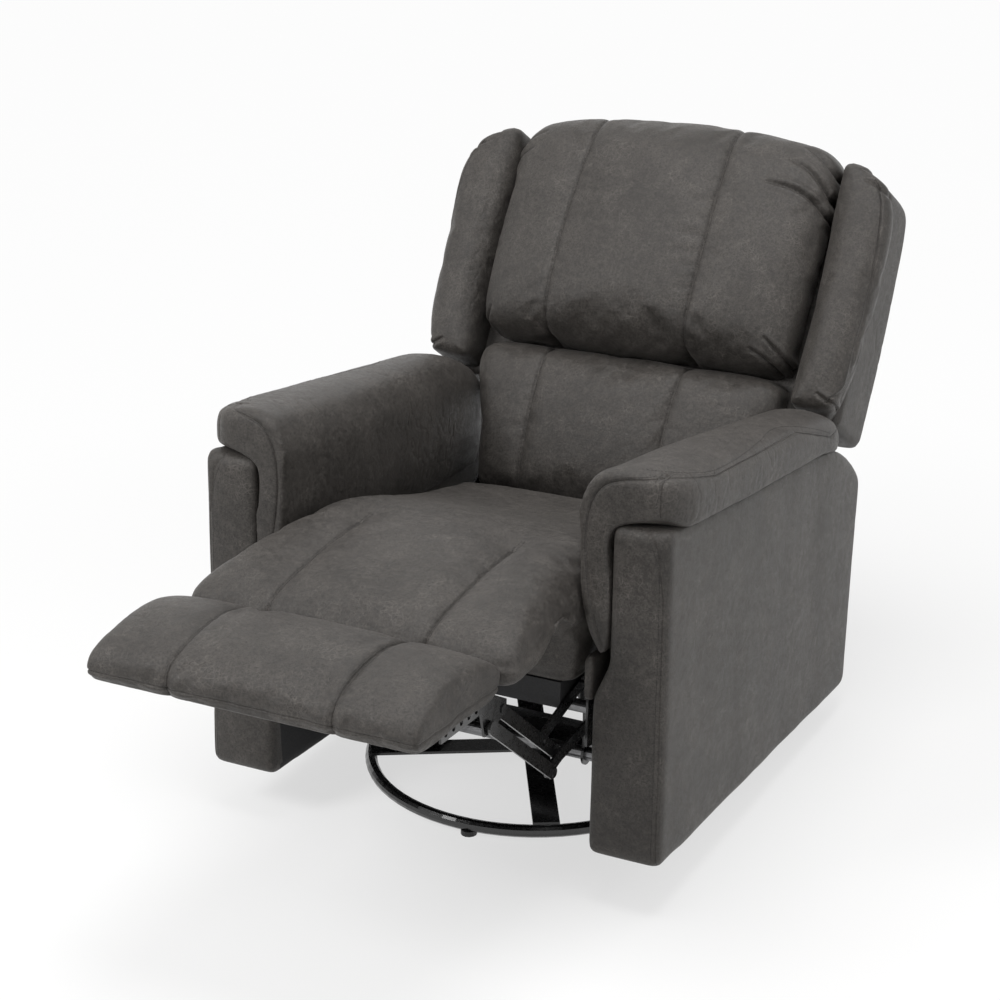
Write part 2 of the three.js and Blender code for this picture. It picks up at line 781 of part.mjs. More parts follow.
// Rolled arm pads that wrap over the top and hang down the inner side
function addArmPads() {
  const stepX = armInnerX + armStepDepth;
  const ringAt = (share) => {
    const f = padFrontF + (padRearF - padFrontF) * share;
    const top = armTopAt(f) + softGap;
    const middle = (padFrontF - armMidTopF) / (padFrontF - padRearF);
    const height = share < middle
      ? THREE.MathUtils.lerp(padFrontHeight, padMidHeight, share / middle)
      : THREE.MathUtils.lerp(padMidHeight, padRearHeight, (share - middle) / (1 - middle));
    const [radius, deep] = share < 1 / 2 ? [padEndRound, padEndShare] : [padRearRound, padRearShare];
    const end = Math.min(share, 1 - share) * (padFrontF - padRearF);
    const rise = Math.max(0, radius - end);
    const round = (radius - Math.sqrt(Math.max(0, radius ** 2 - rise ** 2))) / radius;
    const shrink = 1 - round * deep;
    const innerX = padInnerX + padRearInset * Math.max(0, share - padStraightShare) / (1 - padStraightShare);
    const outerX = half + padOverhang * shrink;
    const wide = outerX - innerX;
    const crest = height * shrink;
    const drop = top - padTipZ;
    const points = padTopShares.map(([across, up]) => [outerX - across * wide, top + up * crest]);
    for (const [across, down] of padDropShares) {
      const inner = stepX - softGap - (stepX - softGap - innerX) * across * shrink;
      points.push([inner, top - down * drop]);
    }
    return points.map(([x, z]) => new THREE.Vector3(x, -f, z));
  };
  const shares = [...padTipShares];
  for (let k = 1; k < padStations - 1; k += 1) {
    shares.push(k / (padStations - 1));
  }
  for (const [f] of armTop().slice(1, 4)) {
    shares.push((padFrontF - f) / (padFrontF - padRearF));
  }
  placePair(upper, "arm_pad", loft(shares.sort((a, b) => a - b).map(ringAt)), cloth);
}

// Padded panels on the inner faces of the arms, below the pads
function addInnerPanels() {
  const outline = [
    [innerPanelFrontF, innerPanelBottomZ], [innerPanelFrontF, innerPanelTopZ],
    [innerPanelRearF, innerPanelTopZ], [innerPanelRearF, innerPanelBottomZ],
  ].map(([f, z]) => sidePoint(f, z));
  const outer = armInnerX - clearance;
  placePair(upper, "arm_inner_panel", slab(outline, innerPanelX, outer, innerPanelRound), cloth);
}

// Seat frame and its wave springs
function addSeatFrame() {
  const low = seatFrameTopZ - seatRailHeight;
  const innerHalf = seatFrameHalf - seatRailWidth;
  const whole = block(
    [-seatFrameHalf, -seatFrameFrontF, low],
    [seatFrameHalf, -seatFrameRearF, seatFrameTopZ]);
  const window = block(
    [-innerHalf, -seatFrameFrontF + seatRailWidth, low - overrun],
    [innerHalf, -seatFrameRearF - seatRailWidth, seatFrameTopZ + overrun]);
  place(upper, "seat_frame", combine([whole], [window]), lining);
  const front = seatFrameFrontF - springInset;
  const rear = seatFrameRearF + springInset;
  const steps = springWaveCount * springStepCount;
  springPlaceShares.forEach((placeShare, number) => {
    const centre = placeShare * seatFrameHalf;
    const line = [];
    for (let k = 0; k <= steps; k += 1) {
      const share = k / steps;
      line.push(new THREE.Vector2(
        centre + springSwing * Math.sin(2 * Math.PI * springWaveCount * share),
        -front + (front - rear) * share));
    }
    const outline = [...ribbonEdge(line, springWire / 2), ...ribbonEdge(line, -springWire / 2).reverse()];
    const shape = new THREE.Shape(outline);
    const geometry = new THREE.ExtrudeGeometry(shape, { depth: springWire, bevelEnabled: false });
    geometry.translate(0, 0, seatFrameTopZ + clearance);
    place(upper, `seat_spring_${number + 1}`, geometry, silver);
  });
}

// One edge of a ribbon that follows a line
function ribbonEdge(line, offset) {
  return line.map((point, k) => {
    const before = line[Math.max(0, k - 1)];
    const after = line[Math.min(line.length - 1, k + 1)];
    const along = after.clone().sub(before).normalize();
    return new THREE.Vector2(point.x - along.y * offset, point.y + along.x * offset);
  });
}

// Seat cushion, the bridge that folds down in front of it, and the footrest
function addSeat() {
  const foldCut = clearance / 2;
  const seatBottomZ = seatFrameTopZ + springWire + 2 * clearance;
  const underFold = foldF - seatNoseF;
  const seatPoints = [
    [seatRearF, seatBottomZ], [seatRearF - seatRearBulge, (seatBottomZ + seatRearTopZ) / 2],
    [seatRearF + seatRearStep, seatRearTopZ - seatRearDrop], [seatRearF + seatEdgeRound, seatRearTopZ],
    ...seatTopPlaces, [foldF - foldCut, foldTopZ], [foldF - foldCut, foldZ],
    [seatNoseF - foldCut, foldZ - underFold], [seatNoseF - foldCut, seatBottomZ],
  ].map(([f, z]) => sidePoint(f, z));
  const seat = cushion(seatPoints, {
    half: seatHalfWidth, centre: 0, round: seatEdgeRound, roundShare: seatRoundShare, seams: [seatSeamX],
    hold: foldHold, form: crowned(seatBottomZ, foldTopZ, seatCrown),
  });
  place(upper, "seat_cushion", seat, cloth);
  const boardTop = bridgeBoardBottomZ + boardThickness + clearance;
  const bridgePoints = [
    [foldF + foldCut, foldZ], [foldF + foldCut + foldZ - boardTop, boardTop],
    [bridgeFrontF - softGap, boardTop], [bridgeFrontF, (boardTop + bridgeFrontTopZ) / 2],
    [bridgeFrontF - bridgeCorner, bridgeFrontTopZ - bridgeCorner],
    [bridgeFrontF - seatEdgeRound, bridgeFrontTopZ + bridgeNoseRise], ...bridgeTopPlaces,
    [foldF + foldCut, foldTopZ],
  ].map(([f, z]) => sidePoint(f, z));
  const bridge = cushion(subdivided(bridgePoints, 2), {
    half: bridgeHalfWidth, centre: 0, round: seatEdgeRound, roundShare: endRoundShare, seams: [seatSeamX],
    hold: foldHold, form: crowned(boardTop, foldTopZ, seatCrown),
  });
  const notch = block(
    [bridgeNotchX, -bridgeFrontF - overrun, boardTop - overrun],
    [bridgeHalfWidth + overrun, -foldF, boardTop + bridgeNotchHeight]);
  place(upper, "bridge_pad", combine([bridge], [notch, mirrored(notch)]), cloth);
  place(upper, "bridge_board", block(
    [-bridgeBoardHalf, -bridgeFrontF + boardThickness, bridgeBoardBottomZ],
    [bridgeBoardHalf, -bridgeBoardRearF, bridgeBoardBottomZ + boardThickness]), lining);
}

// Keeps the fold line of the seat and bridge where it is
function foldHold(point) {
  const away = Math.abs(-point.x - foldF);
  return Math.min(1, away / (foldF - seatNoseF));
}

// Raises the middle of a flat cushion between a low and a high level
function crowned(low, high, rise) {
  return (point, share) => {
    const level = Math.max(0, (point.y - low) / (high - low));
    return new THREE.Vector2(point.x, point.y + rise * level * (1 - share * share));
  };
}

// Splits each edge of an outline into equal parts
function subdivided(points, parts) {
  const result = [];
  points.forEach((point, k) => {
    const next = points[(k + 1) % points.length];
    for (let j = 0; j < parts; j += 1) {
      result.push(point.clone().lerp(next, j / parts));
    }
  });
  return result;
}

function addFootrest() {
  const padLow = footBoardBottomZ + boardThickness + clearance;
  const footFrontF = footRearF + footDepth;
  const footShares = [
    [0.01, 0], [0, 0.14], [0.004, 0.34], [0.06, 0.66], [0.2, 0.86], [0.4, 0.97], [0.58, 1], [0.76, 0.9],
    [0.9, 0.68], [0.975, 0.42], [1, 0.18], [0.985, 0],
  ];
  const outline = footShares.map(([along, up]) =>
    sidePoint(footRearF + along * footDepth, padLow + up * footThickness));
  const pad = cushion(subdivided(outline, 2), {
    half: footHalfWidth, centre: 0, round: footRound, roundShare: footRoundShare, seams: [seatSeamX],
    form: crowned(padLow, padLow + footThickness, seatCrown),
  });
  place(upper, "footrest_pad", pad, cloth);
  place(upper, "footrest_board", block(
    [-footBoardHalf, -footFrontF + footBoardInset, footBoardBottomZ],
    [footBoardHalf, -footRearF - footBoardInset, footBoardBottomZ + boardThickness]), lining);
  addFootrestBrackets();
}

// Perforated brackets under the footrest board
function addFootrestBrackets() {
  const top = footBoardBottomZ - clearance;
  const low = top - bracketBarHeight;
  const x = layer(2);
  const ends = [x - overrun, x + plateThickness + overrun];
  const holes = [];
  for (let k = 0; k < bracketHoleCount; k += 1) {
    const f = bracketFrontF - bracketHoleStart - bracketHolePitch * k;
    holes.push(pin(f, (top + low - plateThickness) / 2, bracketHoleRadius, ...ends));
  }
  const outline = [
    [bracketFrontF, top], [bracketRearF, top], [rearEye.f - bracketEarHalf, rearEye.z + bracketEarHalf],
    [rearEye.f - bracketEarHalf, rearEye.z - bracketEarHalf], [rearEye.f, rearEye.z - bracketEarHalf],
    [frontEye.f, frontEye.z - bracketEarHalf], [frontEye.f + bracketEarHalf, frontEye.z - bracketEarHalf],
    [frontEye.f + 2 * bracketEarHalf, low], [bracketFrontF, low],
  ].map(([f, z]) => sidePoint(f, z));
  const bar = slab(outline, x, x + plateThickness);
  const flange = block(
    [x + plateThickness / 2 - bracketFlange, -bracketFrontF, top - plateThickness],
    [x + plateThickness / 2, -bracketFrontF + bracketFlangeLength, top]);
  const eyes = [rearEye, frontEye].map((eye) => pin(eye.f, eye.z, linkPinRadius + runningGap, ...ends));
  placePair(upper, "footrest_bracket", combine([bar, flange], [...holes, ...eyes]), steel);
}

// Footrest linkage: a drive tube with its links, two parallel links a side and a guide link
function addLinkage() {
  const driveX = layer(2);
  const tubeEnd = driveX - clearance;
  const tube = pin(tubePivot.f, tubePivot.z, driveTubeRadius, -tubeEnd, tubeEnd, tubeSides);
  place(upper, "drive_tube", tube, silver);
  const outlines = [barOutline([tubePivot, rearPin], linkHalf), barOutline([rearPin, frontPin], linkHalf)];
  const parts = outlines.map((outline) => slab(outline, driveX, driveX + plateThickness));
  const plateEnd = sidePlateX + plateThickness + clearance;
  parts.push(pin(tubePivot.f, tubePivot.z, linkPinRadius, driveX + clearance, plateEnd));
  const inEnd = layer(3) - clearance;
  parts.push(pin(rearPin.f, rearPin.z, linkPinRadius, inEnd, driveX + clearance));
  parts.push(pin(rearPin.f, rearPin.z, linkHeadRadius, inEnd - linkHeadThickness, inEnd));
  const outEnd = layer(1) + plateThickness + clearance;
  parts.push(pin(frontPin.f, frontPin.z, linkPinRadius, driveX + clearance, outEnd));
  parts.push(pin(frontPin.f, frontPin.z, linkHeadRadius, outEnd, outEnd + linkHeadThickness));
  placePair(upper, "drive_link", combine(parts), steel);
  const upperLink = link([rearPin, rearEye], layer(3), [rearPin, guidePin], [{ ...rearEye, side: 1 }]);
  placePair(upper, "upper_link", upperLink, steel);
  const lowerLink = link([frontPin, frontEye], layer(1), [frontPin], [{ ...frontEye, side: -1 }]);
  placePair(upper, "lower_link", lowerLink, steel);
  const guide = slab(barOutline([guidePivot, guidePin], linkHalf), layer(4), layer(4) + plateThickness);
  const guideParts = [guide, pin(guidePivot.f, guidePivot.z, linkPinRadius, layer(4) + clearance, plateEnd)];
  placePair(upper, "guide_link", combine(guideParts), steel);
}

// Back frame, cushions, wings and outer shell, drawn upright in the leaned group
function addBack() {
  addBackFrame();
  const lumbarShares = [
    [0, 0], [0.5, 0], [0.76, 0.04], [0.9, 0.1], [1.06, 0.28], [1.12, 0.52], [1.08, 0.78], [0.9, 0.96],
    [0.55, 1], [0, 1],
  ];
  const lumbar = lumbarShares.map(([out, up]) =>
    new THREE.Vector2(cushionRear - out * lumbarDepth, lumbarBottomU + up * (lumbarTopU - lumbarBottomU)));
  const wideLumbar = cushion(subdivided(lumbar, 2), {
    half: lumbarWideHalf, centre: 0, round: backRound, roundShare: endRoundShare, seams: [pillowSeamX],
    hold: backHold, form: bulged(0),
  });
  const notch = block(
    [lumbarHalf, cushionRear - 2 * lumbarDepth, lumbarBottomU - overrun],
    [lumbarWideHalf + overrun, cushionRear + overrun, lumbarNotchU]);
  place(back, "lumbar_cushion", combine([wideLumbar], [notch, mirrored(notch)]), cloth);
  const pillowShares = [
    [0, 0], [0.5, 0], [0.8, 0.02], [0.98, 0.09], [1.04, 0.2], [1.02, 0.4], [0.96, 0.6], [0.88, 0.78],
    [0.77, 0.91], [0.58, 0.985], [0.35, 1], [0, 0.985],
  ];
  const pillow = pillowShares.map(([out, up]) =>
    new THREE.Vector2(cushionRear - out * pillowDepth, pillowBottomU + up * (pillowTopU - pillowBottomU)));
  const fall = (pillowTopU - pillowCornerU) / (pillowTopU - pillowBottomU);
  place(back, "head_pillow", cushion(subdivided(pillow, 2), {
    half: pillowHalf, centre: 0, round: backRound, roundShare: endRoundShare, seams: [pillowSeamX],
    hold: backHold, form: bulged(fall),
  }), cloth);
  const wingShares = [
    [0, 0.02], [0.5, 0], [0.8, 0.02], [0.96, 0.1], [1, 0.3], [1, 0.6], [0.95, 0.85], [0.8, 0.96],
    [0.5, 1], [0, 0.98],
  ];
  const wing = wingShares.map(([out, up]) =>
    new THREE.Vector2(cushionRear - out * wingDepth, wingBottomU + up * (wingTopU - wingBottomU)));
  placePair(back, "wing", cushion(subdivided(wing, 2), {
    half: (wingOuterX - wingInnerX) / 2, centre: (wingOuterX + wingInnerX) / 2, round: wingRound,
    roundShare: wingRoundShare, hold: backHold, form: (point) => point,
  }), cloth);
  addShell();
}

// Crowns a back cushion forwards, most where it's thickest, and lowers its top edge towards the sides
function bulged(fall) {
  return (point, share) => {
    const out = (cushionRear - point.x) / pillowDepth;
    const top = point.y - (point.y - pillowBottomU) * fall * share * share;
    return new THREE.Vector2(point.x - backCrown * out * out * (1 - share * share), top);
  };
}

// Leaves a back cushion's rear face flat on the frame
function backHold(point) {
  return cushionRear - point.x < clearance ? 0 : 1;
}

function addBackFrame() {
  const front = cushionRear + clearance;
  const rear = front + backFrameDepth;
  const postEdge = layer(1) - clearance;
  const postInner = postEdge - backPostWidth;
  const outerEdge = shellOuterX - shellWall - clearance;
  const parts = [];
  for (const side of [-1, 1]) {
    const postX = side * (postEdge - backPostWidth / 2);
    const wideX = side * (outerEdge - outerPostWidth / 2);
    parts.push(block(
      [postX - backPostWidth / 2, front, backPostBottomU],
      [postX + backPostWidth / 2, rear, backFrameTopU]));
    parts.push(block(
      [wideX - outerPostWidth / 2, front, backFrameStepU],
      [wideX + outerPostWidth / 2, rear, backFrameTopU]));
  }
  for (const u of [backFrameStepU, backMidRailU, backFrameTopU - backRailHeight]) {
    parts.push(block([-outerEdge, front, u], [outerEdge, rear, u + backRailHeight]));
  }
  parts.push(block([-postInner, front, lowRailU], [postInner, rear, lowRailU + backRailHeight]));
  place(back, "back_frame", combine(parts), timber);
  const plateX = layer(1);
  const outline = [
    [-bracketEarHalf, -bracketEarHalf], [rear - overrun, -bracketEarHalf], [rear, bracketPlateTopU],
    [front, bracketPlateTopU], [-bracketEarHalf, bracketEarHalf],
  ].map(([y, z]) => new THREE.Vector2(y, z));
  const hingePin = pin(0, 0, linkPinRadius, plateX + clearance, sidePlateX + plateThickness + clearance);
  const plate = slab(outline, plateX, plateX + plateThickness);
  placePair(back, "hinge_bracket", combine([plate, hingePin]), steel);
}

// The padded outer shell of the back, open towards the cushions and below
function addShell() {
  const rearShares = [
    [0, 0], [0.97, 0], [1.02, 0.3], [1, 0.62], [0.93, 0.86], [0.8, 0.96], [0.6, 1], [0, 0.985],
  ];
  const outline = rearShares.map(([deep, up]) => new THREE.Vector2(
    shellFrontV + deep * (shellRearV - shellFrontV), shellBottomU + up * (shellTopU - shellBottomU)));
  const outer = slab(outline, -shellOuterX, shellOuterX, shellBevel);
  const hollow = inset(outline, shellWall).map((point) => new THREE.Vector2(
    point.x < shellFrontV + 2 * shellWall ? shellFrontV - 2 * shellBevel : point.x,
    point.y < shellBottomU + 2 * shellWall ? shellBottomU - 2 * shellBevel : point.y));
  const room = slab(hollow, -shellOuterX + shellWall, shellOuterX - shellWall);
  place(back, "back_shell", combine([outer], [room]), cloth);
}

// A covered board that closes the chair low at the rear, between the arms
function addRearPanel() {
  const x = armInnerX - clearance;
  const outline = [
    [rearPanelF, rearPanelBottomZ], [rearPanelF, rearPanelTopZ],
    [rearPanelF - rearPanelThickness, rearPanelTopZ], [rearPanelF - rearPanelThickness, rearPanelBottomZ],
  ].map(([f, z]) => sidePoint(f, z));
  place(upper, "rear_panel", slab(outline, -x, x, rearPanelThickness / 4), lining);
}

// A flush cup in the sitter's right arm with the pull that releases the footrest
function addRelease() {
  const y = -cupF;
  const outerX = half + clearance;
  const rim = block(
    [outerX, y - cupHalfDepth - cupRim, cupZ - cupHalfHeight - cupRim],
    [outerX + cupLip, y + cupHalfDepth + cupRim, cupZ + cupHalfHeight + cupRim]);
  const body = block(
    [outerX - cupSink, y - cupHalfDepth, cupZ - cupHalfHeight],
    [outerX + clearance, y + cupHalfDepth, cupZ + cupHalfHeight]);
  const room = block(
    [outerX - cupSink + cupWall, y - cupHalfDepth + cupWall, cupZ - cupHalfHeight + cupWall],
    [outerX + overrun, y + cupHalfDepth - cupWall, cupZ + cupHalfHeight - cupWall]);
  place(upper, "release_cup", mirrored(combine([rim, body], [room])), plastic);
  const low = cupZ - cupHalfHeight + 2 * cupWall;
  const pullX = outerX - pullThickness;
  const pivotZ = low + pullPinRadius + clearance;
  const paddle = block([pullX, y - pullHalfDepth, low], [outerX, y + pullHalfDepth, low + pullHeight]);
  const shaftLength = 2 * (cupHalfDepth - cupWall - clearance);
  const shaft = new THREE.CylinderGeometry(pullPinRadius, pullPinRadius, shaftLength, pinSides);
  shaft.translate(pullX + pullThickness / 2, y, pivotZ);
  place(upper, "release_pull", mirrored(combine([paddle, shaft])), plastic);
  mark(upper, "pull", -pullX - pullThickness / 2, y, pivotZ);
}

addStand(addBase());
addSidePlates();
addArms();
addArmPads();
addInnerPanels();
addSeatFrame();
addSeat();
addFootrest();
addLinkage();
addBack();
addRearPanel();
addRelease();

// The joint axes that lie in the plane of symmetry
mark(chair, "swivel", 0, swivelY, 0);
mark(chair, "glide_front", 0, swivelY - swingPivotHalf, swingPivotZ);
mark(chair, "glide_rear", 0, swivelY + swingPivotHalf, swingPivotZ);
mark(chair, "glide_level", 0, swivelY - swingPivotHalf, swingPivotZ - swingLength);
mark(upper, "footrest", 0, -tubePivot.f, tubePivot.z);
mark(upper, "upper_links", 0, -rearPin.f, rearPin.z);
mark(upper, "lower_links", 0, -frontPin.f, frontPin.z);
mark(upper, "footrest_level", 0, -rearEye.f, rearEye.z);
mark(upper, "guide_links", 0, -guidePivot.f, guidePivot.z);
mark(upper, "bridge", 0, -foldF, foldZ);
mark(back, "recline", 0, 0, 0);

// The finished group stands on the floor with the middle of its box over the origin
const bounds = new THREE.Box3().setFromObject(chair, true);
const middle = bounds.getCenter(new THREE.Vector3());
const group = new THREE.Group();
chair.position.set(-middle.x, -middle.y, -bounds.min.z);
group.add(chair);
group.updateMatrixWorld(true);

export default group;
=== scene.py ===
import json
from math import cos, pi, radians, sin, sqrt
import bmesh
import bpy
import numpy as np
from mathutils import Matrix, Vector
from mathutils.bvhtree import BVHTree


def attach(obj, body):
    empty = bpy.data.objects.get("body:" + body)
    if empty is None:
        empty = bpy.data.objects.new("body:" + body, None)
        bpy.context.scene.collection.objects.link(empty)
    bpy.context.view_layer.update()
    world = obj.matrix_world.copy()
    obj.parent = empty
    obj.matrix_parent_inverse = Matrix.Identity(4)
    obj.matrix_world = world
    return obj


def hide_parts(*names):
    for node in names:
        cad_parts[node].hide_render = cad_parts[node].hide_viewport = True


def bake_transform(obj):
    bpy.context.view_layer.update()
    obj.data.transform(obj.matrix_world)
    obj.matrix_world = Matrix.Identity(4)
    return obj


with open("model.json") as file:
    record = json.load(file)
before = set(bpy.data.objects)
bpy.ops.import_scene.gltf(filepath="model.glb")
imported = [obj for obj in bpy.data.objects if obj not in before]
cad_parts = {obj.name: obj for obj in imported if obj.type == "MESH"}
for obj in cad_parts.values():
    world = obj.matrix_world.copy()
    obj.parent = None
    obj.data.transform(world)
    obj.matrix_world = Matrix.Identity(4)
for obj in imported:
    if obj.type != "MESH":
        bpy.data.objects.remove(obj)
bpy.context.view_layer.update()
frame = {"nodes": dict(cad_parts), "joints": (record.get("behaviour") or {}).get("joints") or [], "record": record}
nodes = frame["nodes"]
scene = bpy.context.scene
joints = {joint["name"]: joint for joint in frame["joints"]}

# Dresses the recliner's solids: cushions with seams, folds and stitches, finishes, camera and light.
# The level chair and the leaned back, as the model draws them, in metres
PITCH = radians(2.515)
LEAN = radians(29)
SHIFT_Y = joints["swivel"]["pos_m"][1] + 0.018
HINGE_Y = 0.215
HINGE_Z = 0.385
ARM_OUTER = 0.419
ARM_INNER = 0.2925
ARM_STEP = 0.3205
SEAT_SEAM = 0.138
BACK_SEAMS = (-0.164, 0.120)
SIDES = (("left", 1), ("right", -1))
EDGE_GROOVE = 0.0022
EDGE_WIDTH = 0.0018
THREAD_GAP = 0.0028
THREAD_PITCH = 0.0040
THREAD_LENGTH = 0.0029
THREAD_THICK = 0.00045


def joined(*parts):
    """Points from lists of their coordinates."""
    return np.stack(parts, -1)


def level(points):
    """Points of the level chair, moved into the model's frame."""
    points = np.asarray(points, float)
    x, y, z = points[..., 0], points[..., 1], points[..., 2]
    c, s = cos(PITCH), sin(PITCH)
    return joined(x, y * c + z * s + SHIFT_Y, z * c - y * s)


def leaned(points):
    """Points of the upright back (x, rearwards, up), moved into the model's frame."""
    points = np.asarray(points, float)
    x, v, u = points[..., 0], points[..., 1], points[..., 2]
    c, s = cos(LEAN), sin(LEAN)
    return level(joined(x, HINGE_Y + v * c + u * s, HINGE_Z - v * s + u * c))


def to_level(points):
    """The model's frame, moved back to the level chair."""
    points = np.asarray(points, float)
    c, s = cos(PITCH), sin(PITCH)
    y, z = points[..., 1] - SHIFT_Y, points[..., 2]
    return joined(points[..., 0], y * c - z * s, z * c + y * s)


def to_back(points):
    """The model's frame, moved back to the upright back."""
    flat = to_level(points)
    c, s = cos(LEAN), sin(LEAN)
    y, z = flat[..., 1] - HINGE_Y, flat[..., 2] - HINGE_Z
    return joined(flat[..., 0], y * c - z * s, y * s + z * c)


def to_level_ways(ways):
    """Directions of the model's frame, turned back to the level chair."""
    c, s = cos(PITCH), sin(PITCH)
    return joined(ways[:, 0], ways[:, 1] * c - ways[:, 2] * s, ways[:, 2] * c + ways[:, 1] * s)


def placed(where, sign, line, depth):
    """A line of x and height at one depth, in the model's frame, on the left (1) or the right (-1)."""
    return where(joined(sign * line[:, 0], np.full(len(line), depth), line[:, 1]))


def resampled(fine, step, closed):
    """A line as evenly spaced points."""
    loop = np.vstack([fine, fine[:1]]) if closed else fine
    lengths = np.linalg.norm(np.diff(loop, axis=0), axis=1)
    run = np.concatenate([[0], np.cumsum(lengths)])
    parts = max(6, int(round(run[-1] / step)))
    marks = np.linspace(0, run[-1], parts + 1)
    if closed:
        marks = marks[:-1]
    return np.stack([np.interp(marks, run, loop[:, k]) for k in range(loop.shape[1])], -1)


def curve(points, step, closed=True):
    """A smooth line through a few points, as evenly spaced points."""
    pts = np.asarray(points, float)
    pts = np.vstack([pts[-1:], pts, pts[:2]] if closed else [pts[:1], pts, pts[-1:]])
    fine = []
    for p0, p1, p2, p3 in zip(pts, pts[1:], pts[2:], pts[3:]):
        t1 = max(np.linalg.norm(p1 - p0), 1e-6) ** 0.5
        t2 = t1 + max(np.linalg.norm(p2 - p1), 1e-6) ** 0.5
        t3 = t2 + max(np.linalg.norm(p3 - p2), 1e-6) ** 0.5
        t = np.linspace(t1, t2, 16, endpoint=False)[:, None]
        a1 = (t1 - t) / t1 * p0 + t / t1 * p1
        a2 = (t2 - t) / (t2 - t1) * p1 + (t - t1) / (t2 - t1) * p2
        a3 = (t3 - t) / (t3 - t2) * p2 + (t - t2) / (t3 - t2) * p3
        b1 = (t2 - t) / t2 * a1 + t / t2 * a2
        b2 = (t3 - t) / (t3 - t1) * a2 + (t - t1) / (t3 - t1) * a3
        fine.append((t2 - t) / (t2 - t1) * b1 + (t - t1) / (t2 - t1) * b2)
    fine = np.vstack(fine)
    if not closed:
        fine = np.vstack([fine, pts[-1:]])
    return resampled(fine, step, closed)


def rounded(points, radius, step):
    """A closed polygon with rounded corners, as evenly spaced points."""
    pts = np.asarray(points, float)
    radii = np.broadcast_to(np.asarray(radius, float), (len(pts),))
    fine = []
    for i in range(len(pts)):
        here, before, after = pts[i], pts[i - 1], pts[(i + 1) % len(pts)]
        back, ahead = before - here, after - here
        start = here + back / np.linalg.norm(back) * min(radii[i], 0.45 * np.linalg.norm(back))
        stop = here + ahead / np.linalg.norm(ahead) * min(radii[i], 0.45 * np.linalg.norm(ahead))
        for t in np.linspace(0, 1, 9):
            fine.append((1 - t) ** 2 * start + 2 * t * (1 - t) * here + t * t * stop)
    return resampled(np.array(fine), step, True)


def inset(outline, distance):
    """A closed outline moved inwards along its normals."""
    before = outline - np.roll(outline, 1, axis=0)
    after = np.roll(outline, -1, axis=0) - outline
    along = before / np.maximum(np.linalg.norm(before, axis=1, keepdims=True), 1e-9)
    along = along + after / np.maximum(np.linalg.norm(after, axis=1, keepdims=True), 1e-9)
    along /= np.maximum(np.linalg.norm(along, axis=1, keepdims=True), 1e-9)
    x, y = outline[:, 0], outline[:, 1]
    area = np.sum(x * np.roll(y, -1) - np.roll(x, -1) * y)
    normal = joined(-along[:, 1], along[:, 0]) * (1 if area > 0 else -1)
    return outline + normal * np.broadcast_to(np.asarray(distance, float), (len(outline),))[:, None]


def put(owner, values):
    for key, value in values.items():
        setattr(owner, key, value)


def linked(name, data):
    """An object of the scene."""
    made = bpy.data.objects.new(name, data)
    scene.collection.objects.link(made)
    return made


def smooth(mesh):
    mesh.polygons.foreach_set("use_smooth", [True] * len(mesh.polygons))


def mesh_object(name, points, faces):
    """A smooth mesh whose faces look outwards."""
    mesh = bpy.data.meshes.new(name)
    mesh.from_pydata([tuple(p) for p in points], [], [tuple(f) for f in faces])
    mesh.validate()
    bm = bmesh.new()
    bm.from_mesh(mesh)
    bmesh.ops.recalc_face_normals(bm, faces=bm.faces)
    bm.to_mesh(mesh)
    bm.free()
    smooth(mesh)
    return linked(name, mesh)


def rings_object(name, rings, bulge=0.0):
    """A closed body through equal rings, with shrinking rings over each end."""
    rings = [np.asarray(ring) for ring in rings]
    for end in (0, -1):
        ring = rings[end]
        inner = rings[1] if end == 0 else rings[-2]
        away = ring.mean(0) - inner.mean(0)
        away /= max(np.linalg.norm(away), 1e-9)
        middle = ring.mean(0)
        _, _, axes = np.linalg.svd(ring - middle, full_matrices=False)
        spine = middle + np.outer((ring - middle) @ axes[0] * 0.8, axes[0])
        for share in (0.25, 0.5, 0.75, 0.92):
            lift = away * bulge * sin(share * pi / 2)
            extra = ring + (spine - ring) * share + lift
            rings = [extra] + rings if end == 0 else rings + [extra]
    count = len(rings[0])
    faces = []
    for i in range(len(rings) - 1):
        for k in range(count):
            a = i * count + k
            b = i * count + (k + 1) % count
            faces.append((a, b, b + count, a + count))
    faces.append(tuple(range(count)))
    faces.append(tuple(reversed(range((len(rings) - 1) * count, len(rings) * count))))
    return mesh_object(name, np.vstack(rings), faces)


def padded_body(name, line, half, where, centre=0.0, ends=0.035, share=0.6, form=None, across=None,
                step=0.01, bulge=0.0):
    """A padded body: a side outline carried across X, with drawn-in ends and a crown."""
    flat = max(2, int(round(2 * (half - ends) / step)))
    turn = [sin(radians(angle)) * ends for angle in (15, 30, 45, 60, 75, 90)]
    stations = [-half + ends - t for t in reversed(turn)]
    stations += list(np.linspace(-half + ends, half - ends, flat))
    stations += [half - ends + t for t in turn]
    rings = []
    for x in stations:
        over = max(0.0, abs(x) - (half - ends))
        drop = (ends - sqrt(max(0.0, ends ** 2 - over ** 2))) * share
        ring = inset(line, drop)
        if form is not None:
            ring = form(ring, x / half)
        place = np.full(len(ring), centre + x)
        if across is not None:
            place = across(place, ring)
        rings.append(where(joined(place, ring[:, 0], ring[:, 1])))
    return rings_object(name, rings, bulge)


def coords(piece, kind="co"):
    """The points of a piece, or their normals."""
    flat = np.zeros(len(piece.data.vertices) * 3)
    piece.data.vertices.foreach_get(kind, flat)
    return flat.reshape(-1, 3)


def set_coords(piece, points):
    piece.data.vertices.foreach_set("co", np.asarray(points, float).ravel())
    piece.data.update()


